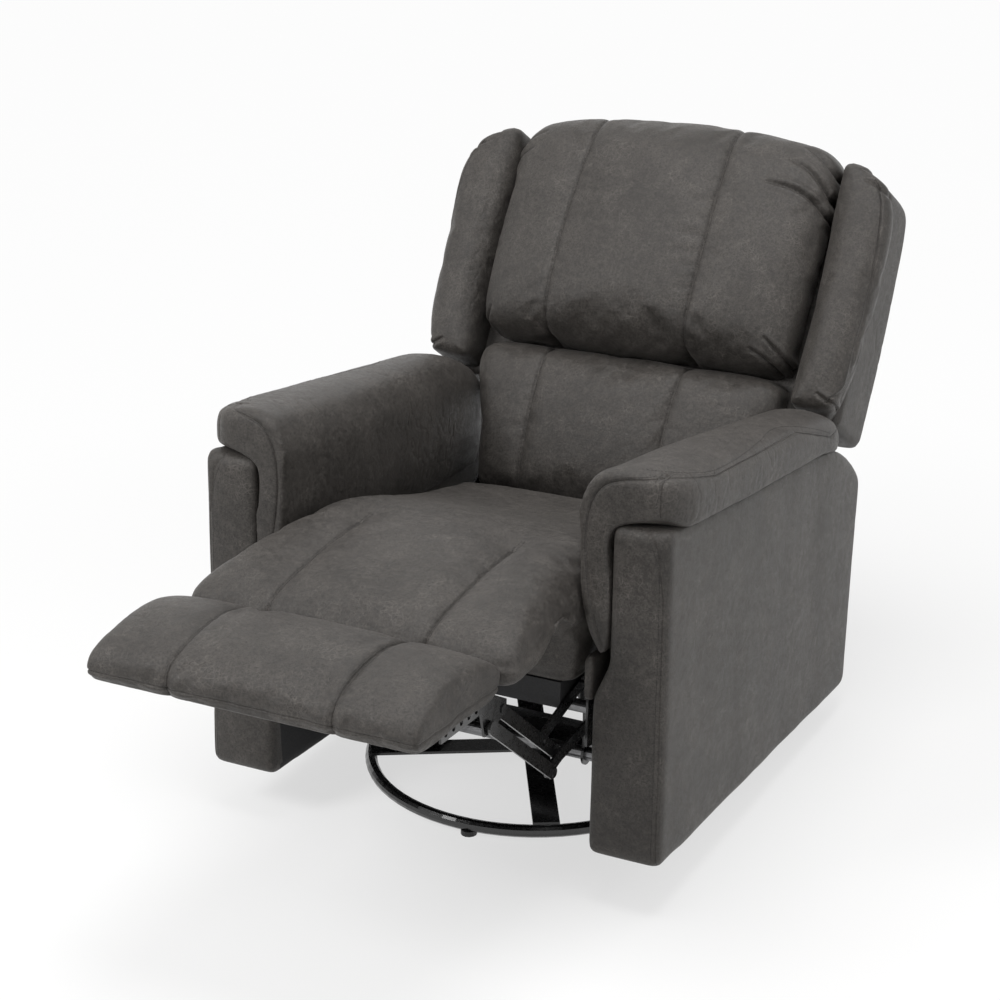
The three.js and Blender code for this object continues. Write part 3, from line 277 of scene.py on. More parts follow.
def bake(piece):
    """Applies the piece's modifiers to its mesh."""
    bpy.context.view_layer.update()
    graph = bpy.context.evaluated_depsgraph_get()
    mesh = bpy.data.meshes.new_from_object(piece.evaluated_get(graph))
    piece.modifiers.clear()
    piece.data = mesh
    smooth(mesh)


def modified(piece, kind, **values):
    put(piece.modifiers.new(kind, kind), values)
    bake(piece)


def remesh(piece, size):
    modified(piece, "REMESH", mode="VOXEL", voxel_size=size)
    modified(piece, "SMOOTH", iterations=3, factor=0.5)


def puff(piece, held, pressure=4.0, limit=0.012, frames=18, grow=0.0):
    """Fills a cushion with air for a moment: its cover swells and folds between the points held."""
    rest = coords(piece)
    group = piece.vertex_groups.new(name="held")
    for weight in (0.5, 1.0):
        chosen = np.nonzero(np.abs(held - weight) < 0.26)[0]
        if len(chosen):
            group.add([int(k) for k in chosen], weight, "REPLACE")
    change = piece.modifiers.new("cloth", "CLOTH")
    put(change.settings, dict(
        quality=4, mass=0.25, tension_stiffness=20, compression_stiffness=20, shear_stiffness=8,
        bending_stiffness=4.0, use_pressure=True, uniform_pressure_force=pressure,
        vertex_group_mass="held", pin_stiffness=1.0, shrink_min=-grow))
    change.settings.effector_weights.gravity = 0
    change.collision_settings.use_collision = False
    change.collision_settings.use_self_collision = False
    change.point_cache.frame_start = 1
    change.point_cache.frame_end = frames
    for number in range(1, frames + 1):
        scene.frame_set(number)
    bake(piece)
    scene.frame_set(1)
    moved = coords(piece) - rest
    far = np.linalg.norm(moved, axis=1, keepdims=True)
    moved *= limit * np.tanh(far / limit) / np.maximum(far, 1e-9)
    set_coords(piece, rest + eased(piece, moved, 2))
    piece.vertex_groups.clear()


def eased(piece, moved, rounds):
    """Evens out how far neighbouring points move."""
    pairs = np.zeros(len(piece.data.edges) * 2, int)
    piece.data.edges.foreach_get("vertices", pairs)
    first, second = pairs[0::2], pairs[1::2]
    count = np.bincount(pairs, minlength=len(moved))[:, None]
    for _ in range(rounds):
        total = np.zeros_like(moved)
        np.add.at(total, first, moved[second])
        np.add.at(total, second, moved[first])
        moved = 0.5 * moved + 0.5 * total / np.maximum(count, 1)
    return moved


def subdivide(piece):
    modified(piece, "SUBSURF", levels=1, render_levels=1)


def waves(points, scale, seed, count=10):
    """Smooth noise from -1 to 1 at about one wave per scale metres."""
    chance = np.random.default_rng(seed)
    total = np.zeros(len(points))
    for _ in range(count):
        heading = chance.normal(size=3)
        heading /= np.linalg.norm(heading)
        rate = 2 * pi / scale * chance.uniform(0.6, 1.5)
        total += np.sin(points @ heading * rate + chance.uniform(0, 2 * pi))
    return total / sqrt(count) / 1.4


def unit(value):
    return np.clip(value, 0, 1)


def bump(distance, width):
    return np.exp(-(distance / width) ** 2)


def ramp(value, start, stop):
    t = unit((value - start) / (stop - start))
    return t * t * (3 - 2 * t)


def shape(piece, change):
    """Moves each point along its normal by what change gives for it."""
    points = coords(piece)
    ways = coords(piece, "normal")
    set_coords(piece, points + ways * change(points, ways)[:, None])


THREADS = []
CAST_FROM = 0.06
CAST_REACH = 0.16


def stitch(piece, path, toward, group, gap=THREAD_GAP, rows=(-1, 1)):
    """Rows of short threads along a path on a piece. The path is cast onto it along toward."""
    graph = bpy.context.evaluated_depsgraph_get()
    tree = BVHTree.FromObject(piece, graph)
    line = resampled(np.asarray(path, float), THREAD_PITCH / 2, False)
    way = -Vector(toward).normalized()
    for row in rows:
        marks = []
        for k, point in enumerate(line):
            along = Vector(line[min(k + 1, len(line) - 1)] - line[max(k - 1, 0)])
            side = way.cross(along).normalized()
            start = Vector(point) + side * gap * row - way * CAST_FROM
            marks.append(tree.ray_cast(start, way, CAST_REACH)[:2])
        for (first, normal), (second, _) in zip(marks[0::2], marks[1::2]):
            if first is None or second is None:
                continue
            ahead = second - first
            if 1e-5 < ahead.length < THREAD_PITCH * 1.5:
                THREADS.append((group, (first + second) / 2, ahead.normalized(), normal))


def thread_object(name, group):
    """One mesh of all the threads of a group."""
    points, faces = [], []
    for owner, centre, along, normal in THREADS:
        if owner != group:
            continue
        side = normal.cross(along).normalized()
        base = len(points)
        for share, wide in ((-0.5, 0.35), (-0.32, 1.0), (0.32, 1.0), (0.5, 0.35)):
            thick = THREAD_THICK
            for angle in (0, 72, 144, 216, 288):
                turn = radians(angle)
                lift = normal * (cos(turn) * thick * wide + thick * 0.25 * wide)
                points.append(
                    centre + along * THREAD_LENGTH * share + side * sin(turn) * thick * wide + lift)
        for ring in range(3):
            for k in range(5):
                a = base + ring * 5 + k
                b = base + ring * 5 + (k + 1) % 5
                faces.append((a, b, b + 5, a + 5))
        faces.append(tuple(base + k for k in range(5)))
        faces.append(tuple(base + 15 + k for k in reversed(range(5))))
    made = mesh_object(name, points, faces)
    return made


def dress(piece, body, replaced):
    """Lets a cover ride on a body and stand for its solids."""
    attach(piece, body)
    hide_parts(*replaced)


def near_seams(x, places):
    """Distance of each x to the nearest seam place."""
    return np.min([np.abs(x - place) for place in places], axis=0)


def cushioned(piece, voxel, held, seams, where, depth=0.005, groove=0.004, grow=0.012, pressure=4.0):
    """Remeshes a pad, lets air swell it between its seams, and makes it finer."""
    remesh(piece, voxel)
    flat = where(coords(piece))
    base = held(flat)
    sewn = np.zeros(len(flat)) if seams is None else bump(seams(flat), voxel * 0.8) * (1 - base)
    shape(piece, lambda points, ways: -depth * (1 - base) * (1 - 0.35 * sewn) - groove * sewn)
    fixed = np.where(np.maximum(base, sewn) > 0.6, 1.0, 0.0)
    puff(piece, fixed, pressure=pressure, limit=depth * 2.2, grow=grow)
    subdivide(piece)


def refine(piece, distance, reaches=(0.009, 0.006)):
    """Splits the faces close to a seam or a fold, so that it can be narrow."""
    for reach in reaches:
        near = distance(coords(piece)) < reach
        made = bmesh.new()
        made.from_mesh(piece.data)
        edges = [edge for edge in made.edges if near[edge.verts[0].index] and near[edge.verts[1].index]]
        bmesh.ops.subdivide_edges(made, edges=edges, cuts=1, use_grid_fill=True)
        made.to_mesh(piece.data)
        made.free()
    smooth(piece.data)
    piece.data.update()


def sewn(away, depth, pucker=0.0):
    """Height across a seam: a thin line, a broad dip, and the press of the stitches on both sides."""
    sunk = depth * bump(away, 0.0013) + (0.45 * depth + 0.0005 * pucker) * bump(away, 0.0085)
    return -sunk - 0.0006 * bump(away - THREAD_GAP, 0.0010)


def channel(piece, seams, where, depth, top):
    """Draws a seam into the top of a pad, with small puckers across it."""
    refine(piece, lambda points: seams(where(points)))

    def change(points, ways):
        flat = where(points)
        along = flat[:, 1] + flat[:, 2]
        pucker = 0.5 + 0.5 * np.sin(along * 2 * pi / 0.024 + 2.5 * waves(points, 0.09, 5))
        return top(flat, ways) * sewn(seams(flat), depth, pucker)
    shape(piece, change)


def from_line(flat, line):
    """Distance of points in a plane to a line, the share of its length there, and the side of it."""
    line = np.asarray(line, float)
    lengths = np.linalg.norm(np.diff(line, axis=0), axis=1)
    run = np.concatenate([[0], np.cumsum(lengths)])
    best = np.full(len(flat), 9.0)
    share, side = np.zeros(len(flat)), np.ones(len(flat))
    for i, start in enumerate(line[:-1]):
        ahead = line[i + 1] - start
        t = unit((flat - start) @ ahead / (ahead @ ahead))
        off = flat - start - t[:, None] * ahead
        away = np.linalg.norm(off, axis=1)
        closer = away < best
        best = np.where(closer, away, best)
        share = np.where(closer, (run[i] + t * lengths[i]) / run[-1], share)
        side = np.where(closer, np.sign(ahead[0] * off[:, 1] - ahead[1] * off[:, 0]), side)
    return best, share, side


def creases(piece, lines, depth, width, front, fade=0.66):
    """Sharp folds along lines of a back cushion (x, up), deepest near their last point, with lips."""
    folds = [curve(line, 0.008, False) for line in lines]

    def near(points):
        flat = to_back(points)[:, [0, 2]]
        return np.min([from_line(flat, line)[0] for line in folds], axis=0)

    refine(piece, near, (width * 3, width * 2))

    def change(points, ways):
        flat = to_back(points)
        total = np.zeros(len(points))
        for line in folds:
            away, share, side = from_line(flat[:, [0, 2]], line)
            ends = np.sqrt(unit(np.sin(pi * np.clip(share, 0.0, 1.0) * fade)))
            lip = np.where(side > 0, 0.75, 0.35) * bump(away - 2.4 * width, 1.7 * width)
            total += depth * ends * (lip - bump(away, width))
        return total * (flat[:, 1] < front)
    shape(piece, change)


def mirrored(lines):
    return [[(-x, u) for x, u in line] for line in lines]


def wrinkled(piece, height, scale, seed, where=None):
    """Fine uneven creases all over a cover, stronger where asked."""
    def change(points, ways):
        fold = waves(points, scale, seed)
        fold = 1 - np.abs(fold + 0.4 * waves(points, scale * 0.45, seed + 1))
        mask = 0.5 + 0.5 * np.clip(waves(points, scale * 5, seed + 2) * 1.6, -1, 1)
        if where is not None:
            mask = np.clip(mask * 0.4 + where(points), 0, 1.6)
        return -height * unit(fold) ** 5 * mask + height * 0.6 * waves(points, scale * 3.2, seed + 3)
    shape(piece, change)


def front_of(flat, ways):
    """Share of a back cushion that faces forwards."""
    return unit((0.03 - flat[:, 1]) / 0.02)


# The seat, whose front part curves down towards the footrest
def side_seams(flat):
    """Distance to the two seams that part the seat and the footrest in three channels."""
    return near_seams(flat[:, 0], (-SEAT_SEAM, SEAT_SEAM))


def seat_form(ring, share):
    out = ring.copy()
    rise = unit((ring[:, 1] - 0.36) / 0.10)
    out[:, 1] += 0.006 * rise * (1 - share ** 2)
    return out


def seat_held(flat):
    """Share to which the seat's lower faces stay where they are."""
    low = ramp(0.010 - (flat[:, 2] - 0.352), 0, 0.008) * (flat[:, 1] > -0.45)
    under = (flat[:, 1] < -0.44) * ramp(0.478 - flat[:, 2], 0, 0.008)
    return np.maximum(low, under)


def seat_seams(flat):
    """Distance to the seams, which fade out where the seat flattens towards the back."""
    fade = 0.08 * ramp(flat[:, 1], -0.40, -0.35)
    return side_seams(flat) + fade


seat_outline = [
    (0.180, 0.352), (0.186, 0.395), (0.172, 0.428), (0.140, 0.440), (0.060, 0.4535), (0.0, 0.464),
    (-0.060, 0.476), (-0.120, 0.491), (-0.180, 0.508), (-0.240, 0.525), (-0.300, 0.538), (-0.360, 0.545),
    (-0.430, 0.547), (-0.500, 0.541), (-0.560, 0.531), (-0.620, 0.519), (-0.660, 0.508), (-0.685, 0.493),
    (-0.694, 0.470), (-0.688, 0.446), (-0.640, 0.440), (-0.570, 0.440), (-0.520, 0.464),
    (-0.500, 0.474), (-0.480, 0.464), (-0.436, 0.424), (-0.430, 0.370), (-0.420, 0.350), (-0.300, 0.349),
    (-0.100, 0.349), (0.100, 0.349),
]


def seat_across(place, ring):
    """The part in front of the arms is a little wider."""
    return place * np.interp(ring[:, 0], [-0.66, -0.57, -0.46], [1.060, 1.018, 0.966])


seat = padded_body(
    "seat_cover", curve(seat_outline, 0.010), 0.274, level, form=seat_form, share=0.62, across=seat_across,
    ends=0.036)
cushioned(seat, 0.0062, seat_held, seat_seams, to_level, depth=0.006)


def seat_face(flat, ways):
    """Share of the seat or the footrest that faces upwards, or forwards at its front."""
    turned = to_level_ways(ways)
    return unit(np.maximum(turned[:, 2], -turned[:, 1] * (flat[:, 1] < -0.6)) * 2)


wrinkled(seat, 0.0008, 0.05, 11)
channel(seat, seat_seams, to_level, 0.0026, seat_face)

# The footrest, wrapped round its board
foot_outline = [
    (-0.703, 0.456), (-0.697, 0.476), (-0.702, 0.492), (-0.722, 0.505), (-0.750, 0.516), (-0.785, 0.524),
    (-0.820, 0.525), (-0.855, 0.521), (-0.890, 0.514), (-0.922, 0.504), (-0.946, 0.489), (-0.957, 0.466),
    (-0.954, 0.446), (-0.940, 0.4402), (-0.820, 0.4402), (-0.720, 0.4402), (-0.706, 0.444),
]


def foot_held(flat):
    """Share to which the footrest's lower faces stay where they are."""
    return ramp(0.4435 - flat[:, 2], 0, 0.002)


def foot_form(ring, share):
    """Slopes the top down to the sides, where it meets the board."""
    out = ring.copy()
    rise = unit((ring[:, 1] - 0.455) / 0.07)
    out[:, 1] -= rise * (0.002 * share ** 2 + 0.015 * np.abs(share) ** 12) - 0.003 * rise
    return out


footrest = padded_body(
    "footrest_cover", curve(foot_outline, 0.008), 0.2815, level, centre=-0.002, ends=0.014, share=0.75,
    form=foot_form)
cushioned(footrest, 0.0055, foot_held, side_seams, to_level, depth=0.004)
wrinkled(footrest, 0.0007, 0.05, 21)


def foot_edge(flat):
    """Distance to the seam round the footrest's lower edge, just over the board."""
    low = 0.4560 + 0.002 * np.abs(flat[:, 0]) / 0.28
    outside = np.maximum(np.abs(flat[:, 0] + 0.002) - 0.262, (-0.945 - flat[:, 1]) * 2) > 0
    return np.where(outside, np.abs(flat[:, 2] - low), 1.0)


channel(footrest, side_seams, to_level, 0.0024, seat_face)
refine(footrest, lambda points: foot_edge(to_level(points)), (0.007,))
shape(footrest, lambda points, ways: -EDGE_GROOVE * bump(foot_edge(to_level(points)), EDGE_WIDTH))


# The back's cushions
def crowned(ring, share, deepest):
    """Moves the front of a back cushion forwards, most in its middle."""
    out = ring.copy()
    deep = np.clip((0.042 - ring[:, 0]) / 0.116, 0, deepest)
    out[:, 0] -= 0.036 * deep ** 2 * (1 - share ** 2)
    return out


def pillow_form(ring, share):
    """Crowns the pillow, and lets its top fall towards the sides."""
    out = crowned(ring, share, 1.1)
    up = unit((ring[:, 1] - 0.311) / 0.459)
    out[:, 1] -= up * (0.028 * share ** 2 + 0.020 * share ** 8)
    return out


def pillow_across(place, ring):
    heights = [0.32, 0.38, 0.47, 0.57, 0.65, 0.76]
    return place * np.interp(ring[:, 1], heights, [0.974, 0.99, 1.0, 1.008, 1.016, 1.008])


def back_held(flat):
    """Share to which the rear of a back cushion stays where it is."""
    return ramp(flat[:, 1], 0.030, 0.038)


def bowed(up):
    """The back's seams lie furthest out in the middle of their height."""
    return 0.95 + 0.05 * bump(up - 0.50, 0.22)


def back_seams(flat):
    """Distance to the two seams of the pillow and the lumbar cushion."""
    return near_seams(flat[:, 0], [place * bowed(flat[:, 2]) for place in BACK_SEAMS])


pillow_outline = [
    (0.041, 0.315), (-0.014, 0.315), (-0.050, 0.323), (-0.071, 0.353), (-0.0785, 0.405), (-0.0775, 0.495),
    (-0.072, 0.586), (-0.063, 0.667), (-0.050, 0.726), (-0.026, 0.762), (0.004, 0.773), (0.041, 0.769),
    (0.041, 0.600), (0.041, 0.450),
]
pillow = padded_body(
    "pillow_cover", curve(pillow_outline, 0.010), 0.316, leaned, ends=0.046, share=0.8, form=pillow_form,
    across=pillow_across)
cushioned(pillow, 0.0062, back_held, back_seams, to_back, depth=0.006, grow=0.015)
wrinkled(pillow, 0.0008, 0.05, 31, lambda points: bump(to_back(points)[:, 2] - 0.38, 0.08) * 0.3)
channel(pillow, back_seams, to_back, 0.0022, front_of)
CORNER_FOLDS = [
    [(0.228, 0.704), (0.270, 0.686), (0.304, 0.656), (0.326, 0.622)],
    [(0.242, 0.738), (0.286, 0.713), (0.320, 0.680), (0.334, 0.655)],
    [(0.200, 0.650), (0.250, 0.645), (0.292, 0.628), (0.326, 0.596)],
    [(0.262, 0.760), (0.300, 0.738), (0.330, 0.704)],
]
FAR_FOLDS = mirrored([
    [(0.262, 0.714), (0.296, 0.694), (0.328, 0.660)], [(0.276, 0.676), (0.305, 0.657), (0.328, 0.628)]])
LOW_FOLDS = [
    [(0.236, 0.344), (0.271, 0.328), (0.300, 0.312)], [(-0.280, 0.358), (-0.293, 0.332), (-0.301, 0.312)],
    [(0.262, 0.366), (0.290, 0.345), (0.306, 0.330)],
]
creases(pillow, CORNER_FOLDS, 0.0062, 0.0036, 0.025)
creases(pillow, FAR_FOLDS, 0.0046, 0.0034, 0.035)
creases(pillow, LOW_FOLDS, 0.0042, 0.0032, 0.035)


def lumbar_across(place, ring):
    return place * np.interp(ring[:, 1], [0.05, 0.142, 0.200, 0.250, 0.305], [1.0, 1.05, 1.12, 1.18, 1.19])


lumbar_outline = [
    (0.041, 0.010), (0.002, 0.010), (-0.022, 0.019), (-0.036, 0.040), (-0.048, 0.092), (-0.054, 0.165),
    (-0.051, 0.240), (-0.040, 0.288), (-0.014, 0.306), (0.041, 0.308), (0.041, 0.150),
]
lumbar = padded_body(
    "lumbar_cover", curve(lumbar_outline, 0.010), 0.258, leaned, ends=0.040, share=0.8,
    form=lambda ring, share: crowned(ring, share, 1), across=lumbar_across)
cushioned(lumbar, 0.0060, back_held, back_seams, to_back, depth=0.005, grow=0.012)
wrinkled(lumbar, 0.0008, 0.05, 51)
channel(lumbar, back_seams, to_back, 0.0022, front_of)

# The wings stand out beside the pillow and narrow towards the shell
wing_line = rounded(
    [(0.320, 0.256), (0.405, 0.261), (0.424, 0.330), (0.435, 0.500), (0.436, 0.625), (0.411, 0.680),
     (0.358, 0.720), (0.320, 0.719)],
    [0.018, 0.020, 0.05, 0.08, 0.05, 0.05, 0.03, 0.018], 0.009)
wing_depths = (0.0440, 0.030, 0.015, 0.0, -0.012, -0.022, -0.031, -0.039, -0.046, -0.051, -0.055)


def wing_ring(depth, sign):
    """A wing's outline at one depth: narrower at the rear, lower there too, and rounded at the front."""
    forward = (0.0405 - depth) / 0.0955
    line = wing_line.copy()
    line[:, 0] -= 0.020 * (1 - min(1.0, forward * 1.6)) * unit((line[:, 0] - 0.32) / 0.09)
    lower = 0.005 + 0.010 * unit((line[:, 0] - 0.355) / 0.03)
    line[:, 1] -= lower * unit((depth + 0.02) / 0.04) * unit((0.31 - line[:, 1]) / 0.05)
    round_off = 0.028 - sqrt(max(0.0, 0.028 ** 2 - max(0.0, -0.027 - depth) ** 2))
    return placed(leaned, sign, inset(line, round_off), depth)


def wing_seam(points, edge):
    """Distance to the seam near a wing's outer edge, and the depth of each point."""
    flat = to_back(points)
    return from_line(flat[:, [0, 2]], edge)[0], flat[:, 1]


def wing_near(points, edge):
    away, depth = wing_seam(points, edge)
    return away + (depth > 0.0)


def wing_groove(points, edge):
    away, depth = wing_seam(points, edge)
    return -EDGE_GROOVE * (depth < 0.0) * bump(away, EDGE_WIDTH)


WING_FOLDS = [
    [(0.372, 0.684), (0.398, 0.674), (0.418, 0.662)], [(0.360, 0.706), (0.388, 0.698), (0.412, 0.680)],
    [(0.372, 0.286), (0.390, 0.276), (0.408, 0.272)],
]
WING_EDGE = curve([(0.392, 0.272), (0.414, 0.300), (0.421, 0.382), (0.424, 0.500), (0.423, 0.580),
                   (0.411, 0.652), (0.392, 0.684)], 0.006, False)
wings = []
for side, sign in SIDES:
    wing = rings_object(f"wing_cover_{side}", [wing_ring(depth, sign) for depth in wing_depths], 0.002)
    cushioned(wing, 0.0055, back_held, None, to_back, depth=0.003, grow=0.012)
    wrinkled(wing, 0.0008, 0.05, 61 + sign)
    creases(wing, WING_FOLDS if sign > 0 else mirrored(WING_FOLDS), 0.0034, 0.0030, 0.02, 0.85)
    edge = WING_EDGE * np.array([sign, 1])
    refine(wing, lambda points: wing_near(points, edge), (0.007,))
    shape(wing, lambda points, ways: wing_groove(points, edge))
    wings.append(wing)

# The shell of the back and the cloth that closes it below
shell_line = rounded(
    [(0.030, 0.244), (0.198, 0.240), (0.2045, 0.383), (0.202, 0.535), (0.192, 0.650), (0.166, 0.704),
     (0.030, 0.700)],
    [0.006, 0.02, 0.05, 0.08, 0.06, 0.05, 0.006], 0.008)


def shell_form(ring, share):
    """Rounds the shell's rear towards the sides."""
    out = ring.copy()
    out[:, 0] -= 0.004 * share ** 2 * unit((ring[:, 0] - 0.15) / 0.05)
    return out


shell = padded_body("back_shell_cover", shell_line, 0.3985, leaned, ends=0.018, share=0.9, form=shell_form)
remesh(shell, 0.0075)
subdivide(shell)
wrinkled(shell, 0.0014, 0.09, 71)

# Arm boxes
ARM_FRONT = -0.428
arm_outline = [
    (ARM_FRONT, 0.0695), (ARM_FRONT, 0.628), (-0.112, 0.600), (0.218, 0.577), (0.318, 0.556),
    (0.396, 0.516), (0.453, 0.471), (0.437, 0.0700),
]
arm_line = inset(rounded(arm_outline, [0.014, 0.016, 0.05, 0.05, 0.05, 0.05, 0.02, 0.014], 0.009), -0.0028)


def arm_form(ring, share):
    out = ring.copy()
    forward = unit((-0.41 - ring[:, 0]) / 0.018)
    inside = unit((ring[:, 1] - 0.0712) / 0.03)
    out[:, 0] -= 0.005 * forward * inside * (1 - share ** 2)
    return out


def arm_body(name, sign):
    """An arm box. Its inner side steps outwards above the inner panel."""
    middle = (ARM_INNER + ARM_OUTER) / 2

    def across(place, ring):
        inner = np.interp(ring[:, 1], [0.334, 0.399], [ARM_INNER, ARM_STEP])
        share = (np.abs(place) - ARM_INNER) / (ARM_OUTER - ARM_INNER)
        return sign * (inner + share * (ARM_OUTER - inner))

    return padded_body(
        name, arm_line, (ARM_OUTER - ARM_INNER) / 2, level, centre=middle, ends=0.011, share=0.9,
        form=arm_form, across=across, step=0.012)


def arm_seams(flat):
    """Distance to the seam round the arm's front panel, near its outer edge."""
    fall = np.interp(flat[:, 2], [0.07, 0.52, 0.60, 0.63], [0.412, 0.409, 0.398, 0.380])
    return np.where(flat[:, 1] < -0.40, np.abs(np.abs(flat[:, 0]) - fall), 1.0)


arms = []
for side, sign in SIDES:
    arm = arm_body(f"arm_cover_{side}_cloth", sign)
    remesh(arm, 0.0075)
    if side == "right":
        corners = [
            level((x, y, z)) for x in (-0.440, -0.3915) for y in (-0.3133, -0.1867) for z in (0.3647, 0.4353)]
        tool = mesh_object("cut", corners, [(0, 1, 3, 2), (4, 5, 7, 6), (0, 1, 5, 4), (2, 3, 7, 6),
                                            (0, 2, 6, 4), (1, 3, 7, 5)])
        modified(arm, "BOOLEAN", object=tool, operation="DIFFERENCE", solver="EXACT")
        bpy.data.objects.remove(tool)
    else:
        subdivide(arm)

    refine(arm, lambda points: arm_seams(to_level(points)), (0.012, 0.008))

    def arm_change(points, ways):
        flat = to_level(points)
        outside = unit(np.abs(ways[:, 0]) * 1.4) * (np.abs(flat[:, 0]) > 0.41)
        drape = 0.0012 * outside * waves(flat * np.array([1, 1, 0.35]), 0.16, 81 + sign)
        cup = bump(np.hypot(flat[:, 1] + 0.25, flat[:, 2] - 0.40), 0.13) * (sign < 0)
        swell = unit(1 - (flat[:, 1] / 0.44) ** 2)
        swell *= unit(1 - ((flat[:, 2] - 0.34) / 0.28) ** 2)
        line = sewn(arm_seams(flat), 0.0018) * unit(-to_level_ways(ways)[:, 1] * 2)
        return drape + 0.0035 * outside * swell * (1 - cup) + line

    shape(arm, arm_change)
    arms.append(arm)

# Arm pads, rolled over the arms and down their inner sides
PAD_FRONT = -0.431
PAD_REAR = 0.332
PAD_NOSE = 0.024
PAD_TAIL = 0.085
PAD_HEIGHTS = {1: [0.088, 0.086, 0.066], -1: [0.082, 0.080, 0.066]}
PAD_TOP = [
    (0.015, 0.02), (0.0, 0.25), (0.002, 0.52), (0.025, 0.72), (0.08, 0.85), (0.18, 0.94), (0.32, 1.0),
    (0.48, 1.02), (0.65, 0.98), (0.82, 0.84), (0.93, 0.56), (0.99, 0.2),
]
PAD_DROP = [
    (1.0, 0.1), (0.98, 0.35), (0.88, 0.6), (0.66, 0.82), (0.4, 0.95), (0.2, 1.0), (0.06, 0.95), (0.0, 0.80),
    (0.0, 0.4), (0.0, 0.05),
]


def arm_top(y):
    return np.interp(y, [p[0] for p in arm_outline[1:7]], [p[1] for p in arm_outline[1:7]]) + 0.0012


def pad_section(y, sign, count=104):
    """The pad's outline across X at one place along the arm."""
    top = float(arm_top(y))
    height = float(np.interp(y, [PAD_FRONT, -0.112, PAD_REAR], PAD_HEIGHTS[sign]))
    front = min(1.0, max(0.0, (y - PAD_FRONT) / PAD_NOSE))
    rear = min(1.0, max(0.0, (PAD_REAR - y) / PAD_TAIL))
    edge = 1 - 0.20 * (1 - sqrt(1 - (1 - front) ** 2)) - 0.45 * (1 - sqrt(1 - (1 - rear) ** 2))
    front_outer, corner_length = (0.377, 0.085) if sign > 0 else (0.368, 0.100)
    corner = min(1.0, max(0.0, (y - PAD_FRONT) / corner_length))
    outer = front_outer + (0.430 - front_outer) * sqrt(1 - (1 - corner) ** 2)
    outer -= 0.030 * (1 - sqrt(1 - (1 - rear) ** 2))
    inner = 0.262 + 0.034 * max(0.0, (y - PAD_FRONT) / (PAD_REAR - PAD_FRONT) - 0.3) / 0.7
    wide = outer - inner
    drop = top - 0.411
    thin = 0.24 * max(0.0, 1 - (y - PAD_FRONT) / 0.055)
    points = [(outer - a * wide, top + (u + thin * max(0.0, 1 - a / 0.6) * (1 - u)) * height * edge)
              for a, u in PAD_TOP]
    for a, down in PAD_DROP:
        step = ARM_STEP - 0.0012 - (ARM_STEP - 0.0012 - inner) * a * (0.45 + 0.55 * edge)
        points.append((step, top - down * drop))
    line = curve(points, 0.004)
    marks = np.linspace(0, len(line), count, endpoint=False)
    loop = np.vstack([line, line[:1]])
    even = np.stack([np.interp(marks, np.arange(len(loop)), loop[:, k]) for k in (0, 1)], -1)
    return placed(level, sign, even, y)


PAD_SEAM = np.array([(-0.415, 0.711), (-0.276, 0.680), (0.092, 0.652), (0.238, 0.605)])


def pad_side(flat):
    """Distance to the seam along the pad's outer top edge."""
    wanted = np.interp(flat[:, 1], PAD_SEAM[:, 0], PAD_SEAM[:, 1])
    return np.where(np.abs(flat[:, 0]) > 0.385, np.abs(flat[:, 2] - wanted), 1.0)


PAD_FACE = curve(
    [(0.424, 0.712), (0.396, 0.709), (0.370, 0.706), (0.338, 0.701), (0.304, 0.687), (0.284, 0.655),
     (0.277, 0.600), (0.281, 0.540), (0.292, 0.480), (0.308, 0.430)], 0.006, False)
PAD_END = np.array([(0.396, 0.706), (0.396, 0.650)])


def pad_front(flat):
    """Distance to the seams of the pad's front face: round its rim and down its outer end."""
    across = joined(np.abs(flat[:, 0]), flat[:, 2])
    away = np.minimum(from_line(across, PAD_FACE)[0], from_line(across, PAD_END)[0])
    return np.where(flat[:, 1] < -0.385, away, 1.0)


pad_places = [PAD_FRONT + PAD_NOSE * (1 - cos(radians(a))) for a in (0, 20, 40, 60, 75, 90)]
pad_places += list(np.linspace(PAD_FRONT + 0.030, PAD_REAR - PAD_TAIL, 52))
pad_places += [
    PAD_REAR - PAD_TAIL * (1 - sin(radians(a))) for a in (8, 18, 28, 38, 48, 58, 68, 78, 90)]


def pad_near(points):
    flat = to_level(points)
    return np.minimum(pad_side(flat), pad_front(flat))


def pad_change(points, ways):
    flat = to_level(points)
    return sewn(pad_side(flat), 0.0022) + sewn(pad_front(flat), 0.0020)


pads = []
for side, sign in SIDES:
    pad = rings_object(f"arm_pad_cover_{side}", [pad_section(y, sign) for y in pad_places], 0.003)
    remesh(pad, 0.0055)
    subdivide(pad)
    wrinkled(pad, 0.0009, 0.05, 91 + sign)
    refine(pad, pad_near)
    shape(pad, pad_change)
    pads.append(pad)

# Padded panels inside the arms, beside the seat
panel_line = rounded([(-0.4265, 0.3265), (-0.4265, 0.4035), (0.1295, 0.4035), (0.1295, 0.3265)], 0.014, 0.007)
panels = []
for side, sign in SIDES:
    panel = padded_body(
        f"arm_panel_cover_{side}", panel_line, 0.0078, level, centre=sign * 0.2843, ends=0.0076, share=0.9,
        step=0.004)
    remesh(panel, 0.004)
    wrinkled(panel, 0.0008, 0.04, 101 + sign)
    panels.append(panel)

dress(footrest, "footrest", ["footrest_pad", "footrest_board"])
back_solids = ("head_pillow", "lumbar_cushion", "wing_left", "wing_right")
for piece, name in zip((pillow, lumbar, *wings), back_solids):
    dress(piece, "back", [name])
dress(shell, "back", ["back_shell"])
for (side, sign), arm, pad, panel in zip(SIDES, arms, pads, panels):
    dress(arm, "seat_unit", [f"arm_cover_{side}"])
    dress(pad, "seat_unit", [f"arm_pad_{side}"])
    dress(panel, "seat_unit", [f"arm_inner_panel_{side}"])

LINING_WIDE = 0.507
LINING_TALL = 0.216


